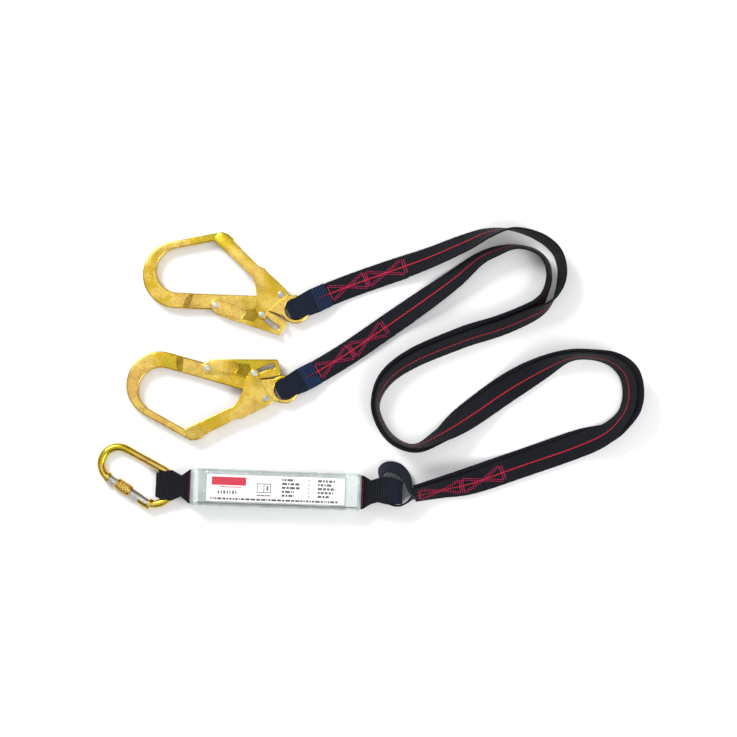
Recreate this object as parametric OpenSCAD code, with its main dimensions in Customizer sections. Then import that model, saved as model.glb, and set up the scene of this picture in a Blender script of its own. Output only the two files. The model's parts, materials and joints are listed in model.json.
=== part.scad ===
// Twin-leg shock absorbing lanyard. An energy absorber pack has a screw-gate karabiner at one end
// and two webbing legs with scaffold hooks at the other. It lies flat on z = 0, and its origin is
// on that surface, under the middle of the absorber pack.

/* [Absorber pack] */
// Length of the absorber pack over its film cover
pack_l = 220; // [180:1:270]
// Width of the absorber pack
pack_w = 47; // [46:0.5:60]
// Thickness of the absorber pack
pack_h = 28; // [26:0.5:36]
// Rounding of the pack's long edges
pack_r = 6; // [3:0.5:8]
// Turn of the pack on the surface
pack_turn = -2; // [-4:0.5:4]
// Wall of the film cover
film_t = 0.8; // [0.5:0.1:1.5]
// Width of the absorber webbing
tear_w = 43; // [36:0.5:44]
// Thickness of the absorber webbing
tear_t = 2.6; // [2:0.1:3]
// Number of folded layers of tear webbing
tear_layers = 7; // [3:2:7]
// Length of the label
label_l = 177; // [120:1:178]
// Width of the label
label_w = 34; // [20:1:34]
// Thickness of the label
label_t = 0.3; // [0.2:0.1:0.6]

/* [Webbing legs] */
// Width of the leg webbing
leg_w = 30; // [24:0.5:31]
// Thickness of the leg webbing
leg_t = 2.4; // [1.6:0.1:2.6]
// Space between the two legs where they lie face to face
leg_gap = 1.5; // [1.3:0.1:2]
// Wall of the wear sleeves
sleeve_wall = 0.7; // [0.5:0.1:1]
// Length of the loop at a hook, from the middle of the hook's eye to the sewn part
hook_loop_l = 45; // [42:1:60]

/* [Scaffold hook] */
// Distance from the gate pivot to the middle of the bow
hook_reach = 137; // [125:1:165]
// Outer radius of the bow
bow_r = 43.6; // [42:0.2:50]
// Depth of the spine
spine_d = 20.4; // [18:0.2:22]
// Thickness of the bow
bow_t = 11; // [10:0.5:11.5]
// Thickness of the spine and eye
spine_t = 8; // [6:0.5:8]
// Radius of the hole in the eye
eye_r = 13; // [11:0.5:13.5]
// Width of the metal round the eye
eye_rim = 5.5; // [4.5:0.5:6]
// Diameter of the three rivets
rivet_d = 6; // [5:0.2:6]
// Wall of the pressed gate and lock lever
plate_t = 1.6; // [1.2:0.1:1.8]
// Angle that the gate opens
gate_open = 38; // [30:1:38]
// Turn of the lock lever for each degree of the gate
lock_ratio = 0.125; // [0.1:0.005:0.14]

/* [Karabiner] */
// Diameter of the rod
rod_d = 10; // [8:0.5:10.5]
// Distance between the middles of the two bows
bow_gap = 54; // [50:1:75]
// Radius of the bow at the nose
nose_bow_r = 22; // [20:0.5:26]
// Radius of the bow in the webbing
load_bow_r = 24; // [21:0.5:28]
// Diameter of the gate rod
gate_d = 11; // [10:0.5:11.5]
// Diameter of the screw sleeve
screw_d = 15.5; // [15:0.5:18]
// Length of the screw sleeve
screw_l = 22; // [18:1:24]
// Diameter of the karabiner's two pins
kb_pin_d = 3; // [2.5:0.1:3.5]

/* [Hidden] */
$fn = 48;
gap = 0.3; // running clearance between pieces
eps = 0.01;

// A unit vector, and the middle difference of a list of points
function unit(v) = v / norm(v);
function tangent(p, i) = unit(p[min(i + 1, len(p) - 1)] - p[max(i - 1, 0)]);
// Points round an arc
function arc(c, r, from, to, n = 12) =
  [for (i = [0:n]) let (a = from + (to - from) * i / n) c + r * [cos(a), sin(a)]];
// A smooth curve through rows of numbers, with a given number of steps between two rows
function between(a, b, c, d, t) =
  0.5 * (2 * b + (c - a) * t + (2 * a - 5 * b + 4 * c - d) * t * t + (3 * b - a - 3 * c + d) * t * t * t);
function smooth(p, steps) = [
  for (i = [0:len(p) - 2], k = [0:steps - 1])
    between(p[max(i - 1, 0)], p[i], p[i + 1], p[min(i + 2, len(p) - 1)], k / steps),
  p[len(p) - 1]
];

// A solid through closed rings of the same number of points. Opposite faces are split the same way,
// so that straps that lie face to face keep their distance where they twist
module skin(rings) {
  n = len(rings[0]);
  m = len(rings);
  polyhedron(
    points = [for (r = rings, q = r) q],
    faces = concat(
      [[for (k = [0:n - 1]) k]],
      [for (i = [0:m - 2], k = [0:n - 1])
        let (l = (k + 1) % n, a = i * n + k, b = a + n, c = (i + 1) * n + l, d = c - n)
        each k < n / 2 ? [[a, b, c], [a, c, d]] : [[a, b, d], [b, c, d]]],
      [[for (k = [n - 1:-1:0]) (m - 1) * n + k]]
    ),
    convexity = 10
  );
}
// A round wire along a path
module wire(path, d, sides = 6) {
  skin([for (i = [0:len(path) - 1])
    let (t = tangent(path, i), a = unit(cross(t, [0, 0.001, 1])), b = cross(t, a))
    [for (k = [0:sides - 1]) path[i] + d / 2 * (cos(360 * k / sides) * a + sin(360 * k / sides) * b)]]);
}
// A flat strap along rows of [x, y, z, stand], where stand is the angle of its width to the surface,
// raised from the rows along its face; it can be only the stretch between two of its rows
module strap(rows, w, t, raised = 0, first = 0, last = undef) {
  p = [for (r = rows) [r[0], r[1], r[2]]];
  skin([for (i = [first:is_undef(last) ? len(p) - 1 : last])
    let (along = tangent(p, i), side = unit(cross([0, 0, 1], along)), up = cross(along, side),
      wide = cos(rows[i][3]) * side + sin(rows[i][3]) * up, face = cross(along, wide))
    [for (c = [[1, 1], [-1, 1], [-1, -1], [1, -1]])
      p[i] + c[0] * w / 2 * wide + (raised + c[1] * t / 2) * face]]);
}

// ---- Layout ----
// The legs and hooks move with the pack's end, and the karabiner with its other end
pack_dir = [cos(pack_turn), sin(pack_turn)];
legs_shift = (pack_l - 220) / 2 * pack_dir;
module on_pack() rotate([0, 0, pack_turn]) children();
module with_legs() translate([legs_shift[0], legs_shift[1], 0]) children();

// ---- Absorber pack ----
tail_z = pack_h / 2;
stack_l = pack_l - 30;
layer_pitch = (pack_h - 2 * film_t - 2 * gap - tear_t) / (tear_layers - 1);
module rounded(w, h, r) {
  translate([-w / 2 + r, -h / 2]) square([w - 2 * r, h]);
  translate([-w / 2, -h / 2 + r]) square([w, h - 2 * r]);
  for (x = [-1, 1], y = [-1, 1]) translate([x * (w / 2 - r), y * (h / 2 - r)]) circle(r);
}
module pack_form(inset) {
  r = pack_r - inset;
  translate([0, 0, pack_h / 2]) intersection() {
    rotate([90, 0, 90]) linear_extrude(pack_l - 2 * inset, center = true)
      rounded(pack_w - 2 * inset, pack_h - 2 * inset, r);
    linear_extrude(pack_h, center = true)
      rounded(pack_l - 2 * inset, pack_w - 2 * inset, r);
    rotate([90, 0, 0]) linear_extrude(pack_w, center = true)
      rounded(pack_l - 2 * inset, pack_h - 2 * inset, r);
  }
}
module absorber_cover() color("gainsboro") on_pack() difference() {
  pack_form(0);
  pack_form(film_t);
  translate([0, 0, tail_z]) cube([pack_l + 2, tear_w + 2 * gap, 2 * tear_t + 2 * gap], center = true);
}
// One strap folded to and fro between the two eyes: a block with slots from alternate ends
module absorber_tear_webbing() color("black") on_pack() intersection() {
  translate([-stack_l / 2, tear_w / 2, film_t + gap]) rotate([90, 0, 0]) linear_extrude(tear_w) difference() {
    square([stack_l, pack_h - 2 * film_t - 2 * gap]);
    for (i = [0:tear_layers - 2]) translate([i % 2 == 0 ? -1 : tear_t, i * layer_pitch + tear_t])
      square([stack_l - tear_t + 1, layer_pitch - tear_t]);
  }
  translate([0, 0, pack_h / 2]) rotate([90, 0, 90]) linear_extrude(pack_l, center = true)
    rounded(pack_w - 2 * film_t - gap, pack_h - 2 * film_t - gap, pack_r - film_t - gap / 2);
}
module absorber_label() color("white") on_pack()
  translate([0, 0, pack_h + label_t / 2]) cube([label_l, label_w, label_t], center = true);
module absorber_stitching() color("crimson") on_pack()
  for (side = [-1, 1], row = [0:2])
    translate([side * (pack_l / 2 - 5 - 2.5 * row), 0, tail_z + tear_t + 0.25])
      cube([1, tear_w - 8, 0.5], center = true);

// An eye is two plies of absorber webbing that leave the pack together and open round a bight.
// Side view from tail to bight: x1 is where it is fully open, [xc, zc] the middle of the bight, r its
// radius, and half is half its thickness at the pack's end
pack_end = pack_l / 2;
eye_seat = pack_end - stack_l / 2; // length of an eye's tails inside the pack
module eye_side(x1, xc, zc, r, half) {
  polygon(concat([[pack_end + 2, tail_z - half], [x1, zc - r]], arc([xc, zc], r, -90, 90, 16),
    [[x1, zc + r], [pack_end + 2, tail_z + half]]));
}
module eye_solid(outline, x1, xc, zc, r) intersection() {
  rotate([90, 0, 0]) linear_extrude(3 * pack_w, center = true) difference() {
    union() {
      eye_side(x1, xc, zc, r, tear_t);
      translate([pack_end - eye_seat, tail_z - tear_t]) square([eye_seat + 2, 2 * tear_t]);
    }
    eye_side(x1, xc, zc, r - tear_t, eps);
  }
  translate([0, 0, -pack_h]) linear_extrude(4 * pack_h) polygon(outline);
}

// ---- Karabiner: its own frame is centred between the bows, with the spine along x ----
rod_r = rod_d / 2;
eye_bight_r = rod_r + gap + tear_t;
kb_z = max(screw_d / 2, eye_bight_r) + 0.1;
kb_in_eye = 24; // from the pack's end to the middle of the rod in the eye
kb_turn = -28.7;
kb_drop = load_bow_r - nose_bow_r;
kb_spine_y = 22.5;
nose_c = [-bow_gap / 2, kb_spine_y - nose_bow_r];
load_c = [bow_gap / 2, kb_spine_y - load_bow_r];
gate_slope = 2 * atan2(kb_drop, bow_gap);
// The rod's far side lies in the eye: the middle of the load bow is that radius from it
kb_load_at = [-pack_end * pack_dir[0] - kb_in_eye - load_bow_r, 4.9];
kb_at = kb_load_at - [cos(kb_turn) * load_c[0] - sin(kb_turn) * load_c[1],
                      sin(kb_turn) * load_c[0] + cos(kb_turn) * load_c[1]];
tail_y = tear_w / 2 - 0.1;
module karabiner_eye() color("black") on_pack() mirror([1, 0, 0])
  eye_solid([[pack_end - eye_seat, -tail_y], [pack_end + 2, -tail_y], [pack_end + 13, -13.2],
      [pack_end + 26, -19.5], [pack_end + 48, -14.5], [pack_end + 48, 15.5], [pack_end + 26, 20],
      [pack_end + 13, 13.2], [pack_end + 2, tail_y], [pack_end - eye_seat, tail_y]],
    pack_end + 15, pack_end + kb_in_eye + 14, kb_z, eye_bight_r);
link_r = 14;
link_z = link_r + sleeve_wall + 0.2;
link_x = pack_end + 38;
link_outline = [[pack_end - eye_seat, -tail_y], [pack_end + 2, -tail_y], [pack_end + 11, -15],
  [pack_end + 21, -11.5], [pack_end + 32, -13.5], [pack_end + 55, -12.5], [pack_end + 55, 15],
  [pack_end + 38, 20.5], [pack_end + 24, 20], [pack_end + 12, 15.8], [pack_end + 2, tail_y],
  [pack_end - eye_seat, tail_y]];
module legs_link_eye() color("black") on_pack()
  eye_solid(link_outline, pack_end + 21, link_x, link_z, link_r);
module sleeve_side(r) {
  translate([link_x, link_z]) circle(r);
  translate([link_x - 8, link_z - r]) square([8, 2 * r]);
}
module link_wear_sleeve() color("midnightblue") on_pack() intersection() {
  rotate([90, 0, 0]) linear_extrude(3 * pack_w, center = true) difference() {
    sleeve_side(link_r + sleeve_wall);
    sleeve_side(link_r);
    translate([link_x - 60, 0]) square([52, 2 * pack_h]);
  }
  linear_extrude(2 * pack_h) polygon(link_outline);
}

// ---- Legs: routes as rows of [x, y, stand, shift], from the link to the hooks ----
// Both legs follow the shared route face to face; shift is half their sideways offset
shared_route = [
  [178, -5.5, 58, -1], [214, 3, 44, -2], [251, 11.5, 22, -3], [310, 31, 0, -3], [385, 57, 0, -3],
  [426, 72, -35, -1], [447, 89, -58, 2], [458, 108, -60, 4], [460, 132, -60, 4], [453, 153, -63, 4],
  [434, 168, -71, 2], [405, 174, -78, 0], [377, 172, -71, 1], [345, 158, -42, 2], [300, 132, -8, 3],
  [245, 93, 18, 3], [210, 68, 55, 2], [180, 53, 78, 0], [152, 62, 79, 0], [134, 85, 79, 0],
  [128, 113, 78, 0], [143, 145, 64, -2], [180, 171, 56, -3], [240, 196, 55, -4]
];
// Then each leg goes on alone: rows of [x, y, stand], and a 1 where its sewn tail lies under it
leg_1_route = [
  [290, 208, 55], [328, 224, 60], [348, 235, 75], [361, 249, 92], [369, 270, 104], [369, 292, 105],
  [360, 312, 104], [338, 328, 100], [306, 337, 88], [275, 332, 62], [245, 320, 40], [195, 299, 24, 1],
  [140, 280, 4, 1], [95, 264, 0, 1]
];
leg_2_route = [
  [287, 215, 55], [325, 231, 58], [340, 242, 66], [348, 255, 74], [353, 275, 74], [349, 295, 74],
  [334, 309, 76], [309, 314, 76], [284, 308, 62], [261, 297, 55], [231, 273, 35], [192, 245, 15, 1],
  [147, 214, 0, 1], [95, 178, 0, 1]
];
half_gap = (leg_t + leg_gap) / 2;
function rise(stand) = leg_w / 2 * abs(sin(stand)) + leg_t / 2 * abs(cos(stand)) + 0.1;
// Rows of [x, y, z, stand] of a leg on the shared route; side is 1 for leg 1 and -1 for leg 2
function shared_rows(side) = let (route = smooth(shared_route, 2), p = [for (r = route) [r[0], r[1]]])
  [for (i = [0:len(p) - 1])
    let (t = tangent(p, i), n = [-t[1], t[0]], s = route[i][2], shift = route[i][3],
      across = side * (shift * cos(s) - half_gap * sin(s)),
      up = rise(s) + half_gap * cos(s) + abs(shift * sin(s)) + side * (half_gap * cos(s) + shift * sin(s)))
    [p[i][0] + across * n[0], p[i][1] + across * n[1], up, s]];
ply = leg_t + 0.05; // from a ply to the next where they are sewn together
function alone_rows(route) = [for (r = route)
  [r[0], r[1], rise(r[2]) + (len(r) > 3 ? ply : 0), r[2]]];
// All the rows of a leg: the curve on alone starts one row back, so that it joins on smoothly
function leg_rows(side, route, hook) =
  let (shared = shared_rows(side), n = len(shared),
    alone = smooth(concat([shared[n - 3], shared[n - 1]], alone_rows(route), [loop_end_row(hook)]), 2),
    rows = concat(shared, [for (i = [3:len(alone) - 1]) alone[i]]))
  [for (i = [0:len(rows) - 1]) let (r = rows[i], under = i < len(rows) - sewn_rows ? 0 : ply)
    [r[0], r[1], max(r[2], rise(r[3]) + under), r[3]]];
sewn_rows = 6; // the last rows of a leg are sewn to its tail
module leg_webbing(rows) with_legs() strap(rows, leg_w, leg_t);
module leg_tail(rows) with_legs() strap(rows, leg_w, leg_t, raised = -ply, first = len(rows) - sewn_rows);
// Bar tacks across the sewn part
module leg_stitching(rows) with_legs() let (n = len(rows) - sewn_rows) for (i = [n, n + 2, n + 4])
  strap([rows[i], rows[i] + (rows[i + 1] - rows[i]) * 0.06], leg_w * 0.7, 0.4, raised = leg_t / 2 + 0.5);
// The legs' common end, sewn into a loop that stands in the link eye
joint_w = 21;
joint_route = [
  [174, -3, 86], [169, 5, 88], [164, 14, 88], [157, 21.5, 88], [147, 25, 88], [138.5, 22.5, 88],
  [134.5, 14, 88], [135, 2, 88], [138, -10, 88], [146, -18.5, 88], [158, -21, 88], [168, -17, 88],
  [175, -10, 86]
];
module legs_joint_loop() color("midnightblue") with_legs()
  strap(smooth([for (r = joint_route) [r[0], r[1], link_z, r[2]]], 2), joint_w, leg_t);

// ---- Hooks: their own frame has the gate pivot at its origin, x towards the eye ----
// Each hook: place of the gate pivot, turn, whether it is turned over, and the direction of its leg
HOOKS = [[[6, 251.5], -2.4, false, 25], [[-13, 117], -15.8, true, 28]];
hook_z = 9.6;
bow_c = [-hook_reach, bow_r - spine_d - 2.6];
eye_c = [19, -18];
lock_at = [-23.6, -27];
lever_at = [-84.5, -17.2];
function flip(h, p) = h[2] ? [p[0], -p[1]] : p;
function turned(a, p) = [cos(a) * p[0] - sin(a) * p[1], sin(a) * p[0] + cos(a) * p[1]];
function in_part(h, p) = h[0] + turned(h[1], flip(h, p));
module hook_place(h) with_legs() translate([h[0][0], h[0][1], hook_z])
  rotate([0, 0, h[1]]) rotate([h[2] ? 180 : 0, 0, 0]) children();

// The loop of webbing through a hook's eye: its own x runs along the leg from the middle of the eye
loop_r = spine_t / 2 + gap + 0.1 + leg_t;
loop_end_z = 7.5;
loop_back = 9; // how far the loop reaches past the middle of the eye
function loop_end_row(h) = let (d = [cos(h[3]), sin(h[3])], e = in_part(h, eye_c) + (hook_loop_l + 0.7) * d)
  [e[0], e[1], loop_end_z, 0];
leg_1_rows = leg_rows(1, leg_1_route, HOOKS[0]);
leg_2_rows = leg_rows(-1, leg_2_route, HOOKS[1]);
module loop_place(h) let (e = in_part(h, eye_c)) with_legs() translate([e[0], e[1], 0])
  rotate([0, 0, h[3]]) children();
loop_open = eye_r + eye_rim + 2; // where the loop starts to close
module loop_side(r, t) {
  xc = -loop_back + loop_r;
  polygon(concat([[hook_loop_l, loop_end_z + t]], [[loop_open, hook_z + r]],
    arc([xc, hook_z], r, 90, 270, 16), [[loop_open, hook_z - r]], [[hook_loop_l, loop_end_z - t]]));
}
// Plan of the loop, which is drawn together where it passes through the eye
loop_plan = [for (y = [1, -1]) let (w = y * leg_w / 2)
  each y > 0 ? [[-loop_back - 2, w * 0.53], [-loop_back + 4, w * 0.72], [0, w * 0.83], [12, w * 0.9],
      [loop_open + 6, w], [hook_loop_l + 1, w]]
    : [[hook_loop_l + 1, w], [loop_open + 6, w], [12, w * 0.9], [0, w * 0.83], [-loop_back + 4, w * 0.72],
      [-loop_back - 2, w * 0.53]]];
module hook_loop(h) loop_place(h) intersection() {
  rotate([90, 0, 0]) linear_extrude(2 * leg_w, center = true) difference() {
    loop_side(loop_r, leg_t);
    difference() {
      loop_side(loop_r - leg_t, eps);
      translate([hook_loop_l - 8, -50]) square(100);
    }
  }
  linear_extrude(40) polygon(loop_plan);
}
module wear_sleeve(h) loop_place(h) intersection() {
  rotate([90, 0, 0]) linear_extrude(2 * leg_w, center = true) difference() {
    loop_side(loop_r + sleeve_wall, leg_t + sleeve_wall);
    loop_side(loop_r, leg_t);
    translate([loop_open + 2, -50]) square(200);
  }
  linear_extrude(40) polygon(loop_plan);
}

// A pressed channel: two cheeks and a back, from outlines
module channel(half, wall) {
  for (z = [half, -half - wall]) translate([0, 0, z]) linear_extrude(wall) children(0);
  translate([0, 0, -half]) linear_extrude(2 * half) intersection() {
    children(0);
    children(1);
  }
}
module bore(p, r) translate([p[0], p[1], -20]) cylinder(r = r, h = 40);
lever_half = spine_t / 2 + 0.5; // half the space inside the lock lever
gate_half = bow_t / 2 + 1; // half the space inside the gate
rivet_r = rivet_d / 2;

// Nose of the body, on the straight arm that leaves the bow at a tangent
arm_rise = 13;
arm_l = 69;
arm_d = 9.6;
arm_dir = [cos(arm_rise), sin(arm_rise)];
arm_out = [-sin(arm_rise), cos(arm_rise)];
nose = bow_c + bow_r * arm_out + arm_l * arm_dir;
bow_in_r = 28.9;
bow_in_c = [bow_c[0] + 2.9, -2.6 + bow_in_r];
boss_r = rivet_r + 3.4;
module hook_outline() {
  polygon(concat(
    [[-12, -2.6 - spine_d]], arc(bow_c, bow_r, 270, 90 + arm_rise, 28),
    [nose, nose + [7.5, -2.5], nose + [15.5, -9], nose + [11.5, -14.5], nose + [-4, -arm_d - 0.7]],
    arc(bow_in_c, bow_in_r, 90 + arm_rise, 270, 24), [[-14, -2.6], [0, 0]]));
  circle(boss_r);
  translate(eye_c) circle(eye_r + eye_rim);
  polygon([[-14, -2.6], [0, boss_r - 2], [4, 1], [16, 0], [12, -30], [4, -28], [-12, -2.6 - spine_d]]);
}
thick_end = -hook_reach + 12; // where the thick bow starts to slope down to the spine
module hook_body(h) color("goldenrod") hook_place(h) difference() {
  union() {
    linear_extrude(spine_t, center = true) hook_outline();
    intersection() {
      linear_extrude(bow_t, center = true) hook_outline();
      rotate([90, 0, 0]) linear_extrude(400, center = true) polygon([[-hook_reach - 2 * bow_r, -bow_t],
        [-hook_reach - 2 * bow_r, bow_t], [thick_end, bow_t], [thick_end, bow_t / 2],
        [thick_end + 8, spine_t / 2], [thick_end + 8, -spine_t / 2], [thick_end, -bow_t / 2],
        [thick_end, -bow_t]]);
    }
    intersection() {
      linear_extrude(bow_t, center = true) hook_outline();
      translate([thick_end - 20, nose[1] - 45, -bow_t]) cube([300, 100, 2 * bow_t]);
    }
  }
  bore([0, 0], rivet_r + gap / 2);
  bore(lever_at, rivet_r + gap / 2);
  bore(eye_c, eye_r);
}

// Gate: its outer edge runs from the nose to the pivot
gate_tip = [nose + [-11.2, -11.6], nose + [-5.2, -1.6], nose + [4, -1.6]];
gate_edge = [[-30.8, 35.8], [-22.9, 33.5], [-18.8, 28.5], [1.5, 11.1], [9.7, 2.4]];
module gate_outline() {
  polygon(concat(gate_tip, gate_edge, [[8.5, -1.6], [-1.6, -8.5], [-11.6, -18.1], [-18, -27]],
    [[-29.4, -27], [-32.3, -20.2], [-31.8, -2], [-33.6, 9.7], [-38, 21.2]]));
  translate(lock_at) circle(5.8);
}
// The strip of the outline that becomes the channel's back, clear of the nose
back_dir = unit(gate_edge[0] - gate_tip[2]);
back_start = gate_tip[2] + 18.5 * back_dir;
module gate_back() {
  edge = concat([back_start], gate_edge);
  for (i = [0:len(edge) - 2]) let (d = unit(edge[i + 1] - edge[i]), n = [d[1], -d[0]])
    polygon([edge[i] - n * 0.5 - d * (i == 0 ? 0 : 0.8), edge[i] + n * plate_t - d * (i == 0 ? 0 : 0.8),
      edge[i + 1] + n * plate_t + d * 0.8, edge[i + 1] - n * 0.5 + d * 0.8]);
}
module hook_gate(h) color("gold") hook_place(h) difference() {
  channel(gate_half, plate_t) {
    gate_outline();
    gate_back();
  }
  bore([0, 0], rivet_r + gap / 2);
  bore(lock_at, rivet_r);
}

// The lock pin's path in the turning lever: where it is when the gate has opened by an angle
function lock_path(a) = lever_at + turned(-lock_ratio * a, turned(a, lock_at) - lever_at);
slot_r = rivet_r + gap + 0.2;
slot_steps = 8;
module lock_slot() {
  p = [for (i = [0:slot_steps]) lock_path((gate_open + 0.8) * i / slot_steps - 0.4)];
  n = [for (i = [0:slot_steps]) let (t = tangent(p, i)) [-t[1], t[0]]];
  polygon(concat([for (i = [0:slot_steps]) p[i] + slot_r * n[i]],
    [for (i = [slot_steps:-1:0]) p[i] - slot_r * n[i]]));
  for (q = [p[0], p[slot_steps]]) translate(q) circle(slot_r);
}
lever_low = [[-82.7, -29.5], [0.3, -52.7]];
module lever_outline() {
  polygon(concat(arc(lever_at, 7.2, 200, 80, 8), [[-47, -18.5], [-26, -18], [-8, -25.5], [8.6, -34.1],
    [7.5, -39.4], lever_low[1], lever_low[0]]));
}
module lever_back() let (d = unit(lever_low[1] - lever_low[0]), n = [-d[1], d[0]])
  polygon([lever_low[0] - n - d, lever_low[0] + n * plate_t - d, lever_low[1] + n * plate_t + d,
    lever_low[1] - n + d]);
module hook_lock_lever(h) color("khaki") hook_place(h) difference() {
  channel(lever_half, plate_t - 0.3) {
    lever_outline();
    lever_back();
  }
  bore(lever_at, rivet_r + gap / 2);
  translate([0, 0, -20]) linear_extrude(40) lock_slot();
}
module rivet(h, p, half) color("silver") hook_place(h) translate(p) {
  cylinder(r = rivet_r, h = 2 * half, center = true);
  for (z = [half + 0.5, -half - 0.5]) translate([0, 0, z]) cylinder(r = rivet_r + 1.1, h = 1, center = true);
}
gate_side = gate_half + plate_t + 0.05;
lever_side = lever_half + plate_t - 0.25;
module hook_gate_rivet(h) rivet(h, [0, 0], gate_side);
module hook_lock_pin(h) rivet(h, lock_at, gate_side);
module hook_lever_rivet(h) rivet(h, lever_at, lever_side);
// Torsion spring round the gate rivet, between the spine and one cheek of the gate
spring_wire = 0.7;
coil_turns = 1.775;
module hook_gate_spring(h) color("gray") hook_place(h) {
  r = rivet_r + 1.2;
  z = spine_t / 2 + 0.45;
  climb = (gate_half - spring_wire / 2 - 0.27 - z) / coil_turns; // fills the space beside the spine
  wire(concat([[-22, 20, z]], [for (i = [0:20]) let (a = 220 + 360 * coil_turns * i / 20)
    [r * cos(a), r * sin(a), z + climb * coil_turns * i / 20]],
    [[-16, -12, z + climb * coil_turns]]), spring_wire);
}
// Leaf spring between the spine and the back of the lock lever
module hook_lock_spring(h) color("gray") hook_place(h) {
  top = -2.6 - spine_d - 0.1;
  linear_extrude(spine_t - 1, center = true) polygon([[-72, top], [-44, top], [-30, -40], [-31, -40.6],
    [-45, top - 0.9], [-72, top - 0.9]]);
}

// ---- Karabiner ----
kb_hinge = load_c + load_bow_r * [sin(-gate_slope), -cos(gate_slope)] + [0, 0.6];
nose_end = nose_c + nose_bow_r * [sin(-gate_slope), -cos(gate_slope)] + [0, 0.6];
gate_l = norm(nose_end - kb_hinge);
module kb_place() translate([kb_at[0], kb_at[1], kb_z]) rotate([0, 0, kb_turn]) children();
// The gate's own frame: the hinge is its origin, x runs to the nose and y into the karabiner
module gate_place() kb_place() translate(kb_hinge)
  rotate([0, 0, 180 - gate_slope]) mirror([0, 1, 0]) children();
module along_gate(x, l, d) translate([x, 0, 0]) rotate([0, 90, 0]) cylinder(d = d, h = l);
pin_r = kb_pin_d / 2;
tongue_t = 4.4;
tongue_r = gate_d / 2 - 1;
nose_pin_x = gate_l - 4.4;
collar_d = gate_d + 3;
module karabiner_body() color("gold") {
  kb_place() {
    translate([-bow_gap / 2, kb_spine_y, 0]) rotate([0, 90, 0]) cylinder(d = rod_d, h = bow_gap);
    translate(nose_c) rotate([0, 0, 90]) rotate_extrude(angle = 180 - gate_slope)
      translate([nose_bow_r, 0]) circle(d = rod_d);
    translate(load_c) rotate([0, 0, 90]) rotate_extrude(angle = -180 - gate_slope + 14)
      translate([load_bow_r, 0]) circle(d = rod_d);
  }
  gate_place() {
    along_gate(gate_l - 0.2, 3.6, collar_d);
    difference() {
      along_gate(-10, 17, collar_d + 1);
      along_gate(-6, 20, gate_d + 2 * gap);
      translate([-6, -3, -20]) cube([20, 20, 40]);
      cylinder(r = gate_d / 2 + gap, h = 40, center = true);
    }
    difference() {
      union() {
        intersection() {
          along_gate(-8, 10, collar_d);
          translate([-8, -tongue_r, -tongue_t / 2]) cube([8, 2 * tongue_r, tongue_t]);
        }
        cylinder(r = tongue_r, h = tongue_t, center = true);
      }
      cylinder(r = pin_r, h = 20, center = true);
    }
    difference() {
      translate([nose_pin_x - 3.6, -tongue_r, -tongue_t / 2])
        cube([gate_l - nose_pin_x + 4, 2 * tongue_r - 0.3, tongue_t]);
      translate([nose_pin_x, 0, 0]) cylinder(r = pin_r + gap, h = 20, center = true);
      translate([nose_pin_x - pin_r - gap, 0, -10]) cube([2 * (pin_r + gap), 20, 20]);
    }
  }
}
slot_t = tongue_t + 2 * gap;
bore_end = 27;
module karabiner_gate() color("silver") gate_place() difference() {
  intersection() {
    rotate([0, 90, 0]) rotate([0, 0, 22.5]) translate([0, 0, -gate_d / 2])
      cylinder(d = gate_d, h = gate_l + gate_d / 2 - 0.6, $fn = 8);
    union() {
      cylinder(d = gate_d, h = 20, center = true);
      translate([0, -10, -10]) cube([gate_l, 20, 20]);
    }
  }
  translate([-10, -10, -slot_t / 2]) cube([10 + tongue_r + 0.8, 20, slot_t]);
  translate([nose_pin_x - 4.6, -10, -slot_t / 2]) cube([10, 20, slot_t]);
  cylinder(r = pin_r + 0.1, h = 20, center = true);
  translate([nose_pin_x, 0, 0]) cylinder(r = pin_r, h = 20, center = true);
  along_gate(tongue_r, bore_end - tongue_r, 4.6);
}
module kb_pin(x) color("silver") gate_place() translate([x, 0, 0])
  cylinder(r = pin_r, h = gate_d * cos(22.5) + 0.2, center = true);
module karabiner_hinge_pin() kb_pin(0);
module karabiner_nose_pin() kb_pin(nose_pin_x);
plunger_x = tongue_r + gap + 0.2;
module karabiner_plunger() color("silver") gate_place() {
  along_gate(plunger_x, 6, 4.2);
  along_gate(plunger_x + 6, 3, 2);
}
module karabiner_gate_spring() color("gray") gate_place() {
  start = plunger_x + 6.5;
  turns = 7;
  wire([for (i = [0:10 * turns]) let (a = 36 * i)
    [start + (bore_end - 0.6 - start) * i / (10 * turns), 1.6 * cos(a), 1.6 * sin(a)]], 0.7);
}
sleeve_x = 20.5;
thread_d = gate_d + 2 * gap; // bore of the thread on the gate rod
thread_wall = 0.9;
module screw_sleeve() color("goldenrod") gate_place() difference() {
  union() {
    along_gate(sleeve_x, screw_l, screw_d - 0.8);
    along_gate(sleeve_x + 1, screw_l - 2, screw_d);
  }
  along_gate(sleeve_x - 1, screw_l + 2, thread_d);
  along_gate(sleeve_x + 3, 10.2, thread_d + 2 * thread_wall + 2 * gap);
}
module screw_sleeve_thread() color("gold") gate_place() difference() {
  along_gate(sleeve_x + 3.1, 10, thread_d + 2 * thread_wall);
  along_gate(sleeve_x, 20, thread_d);
}

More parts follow.
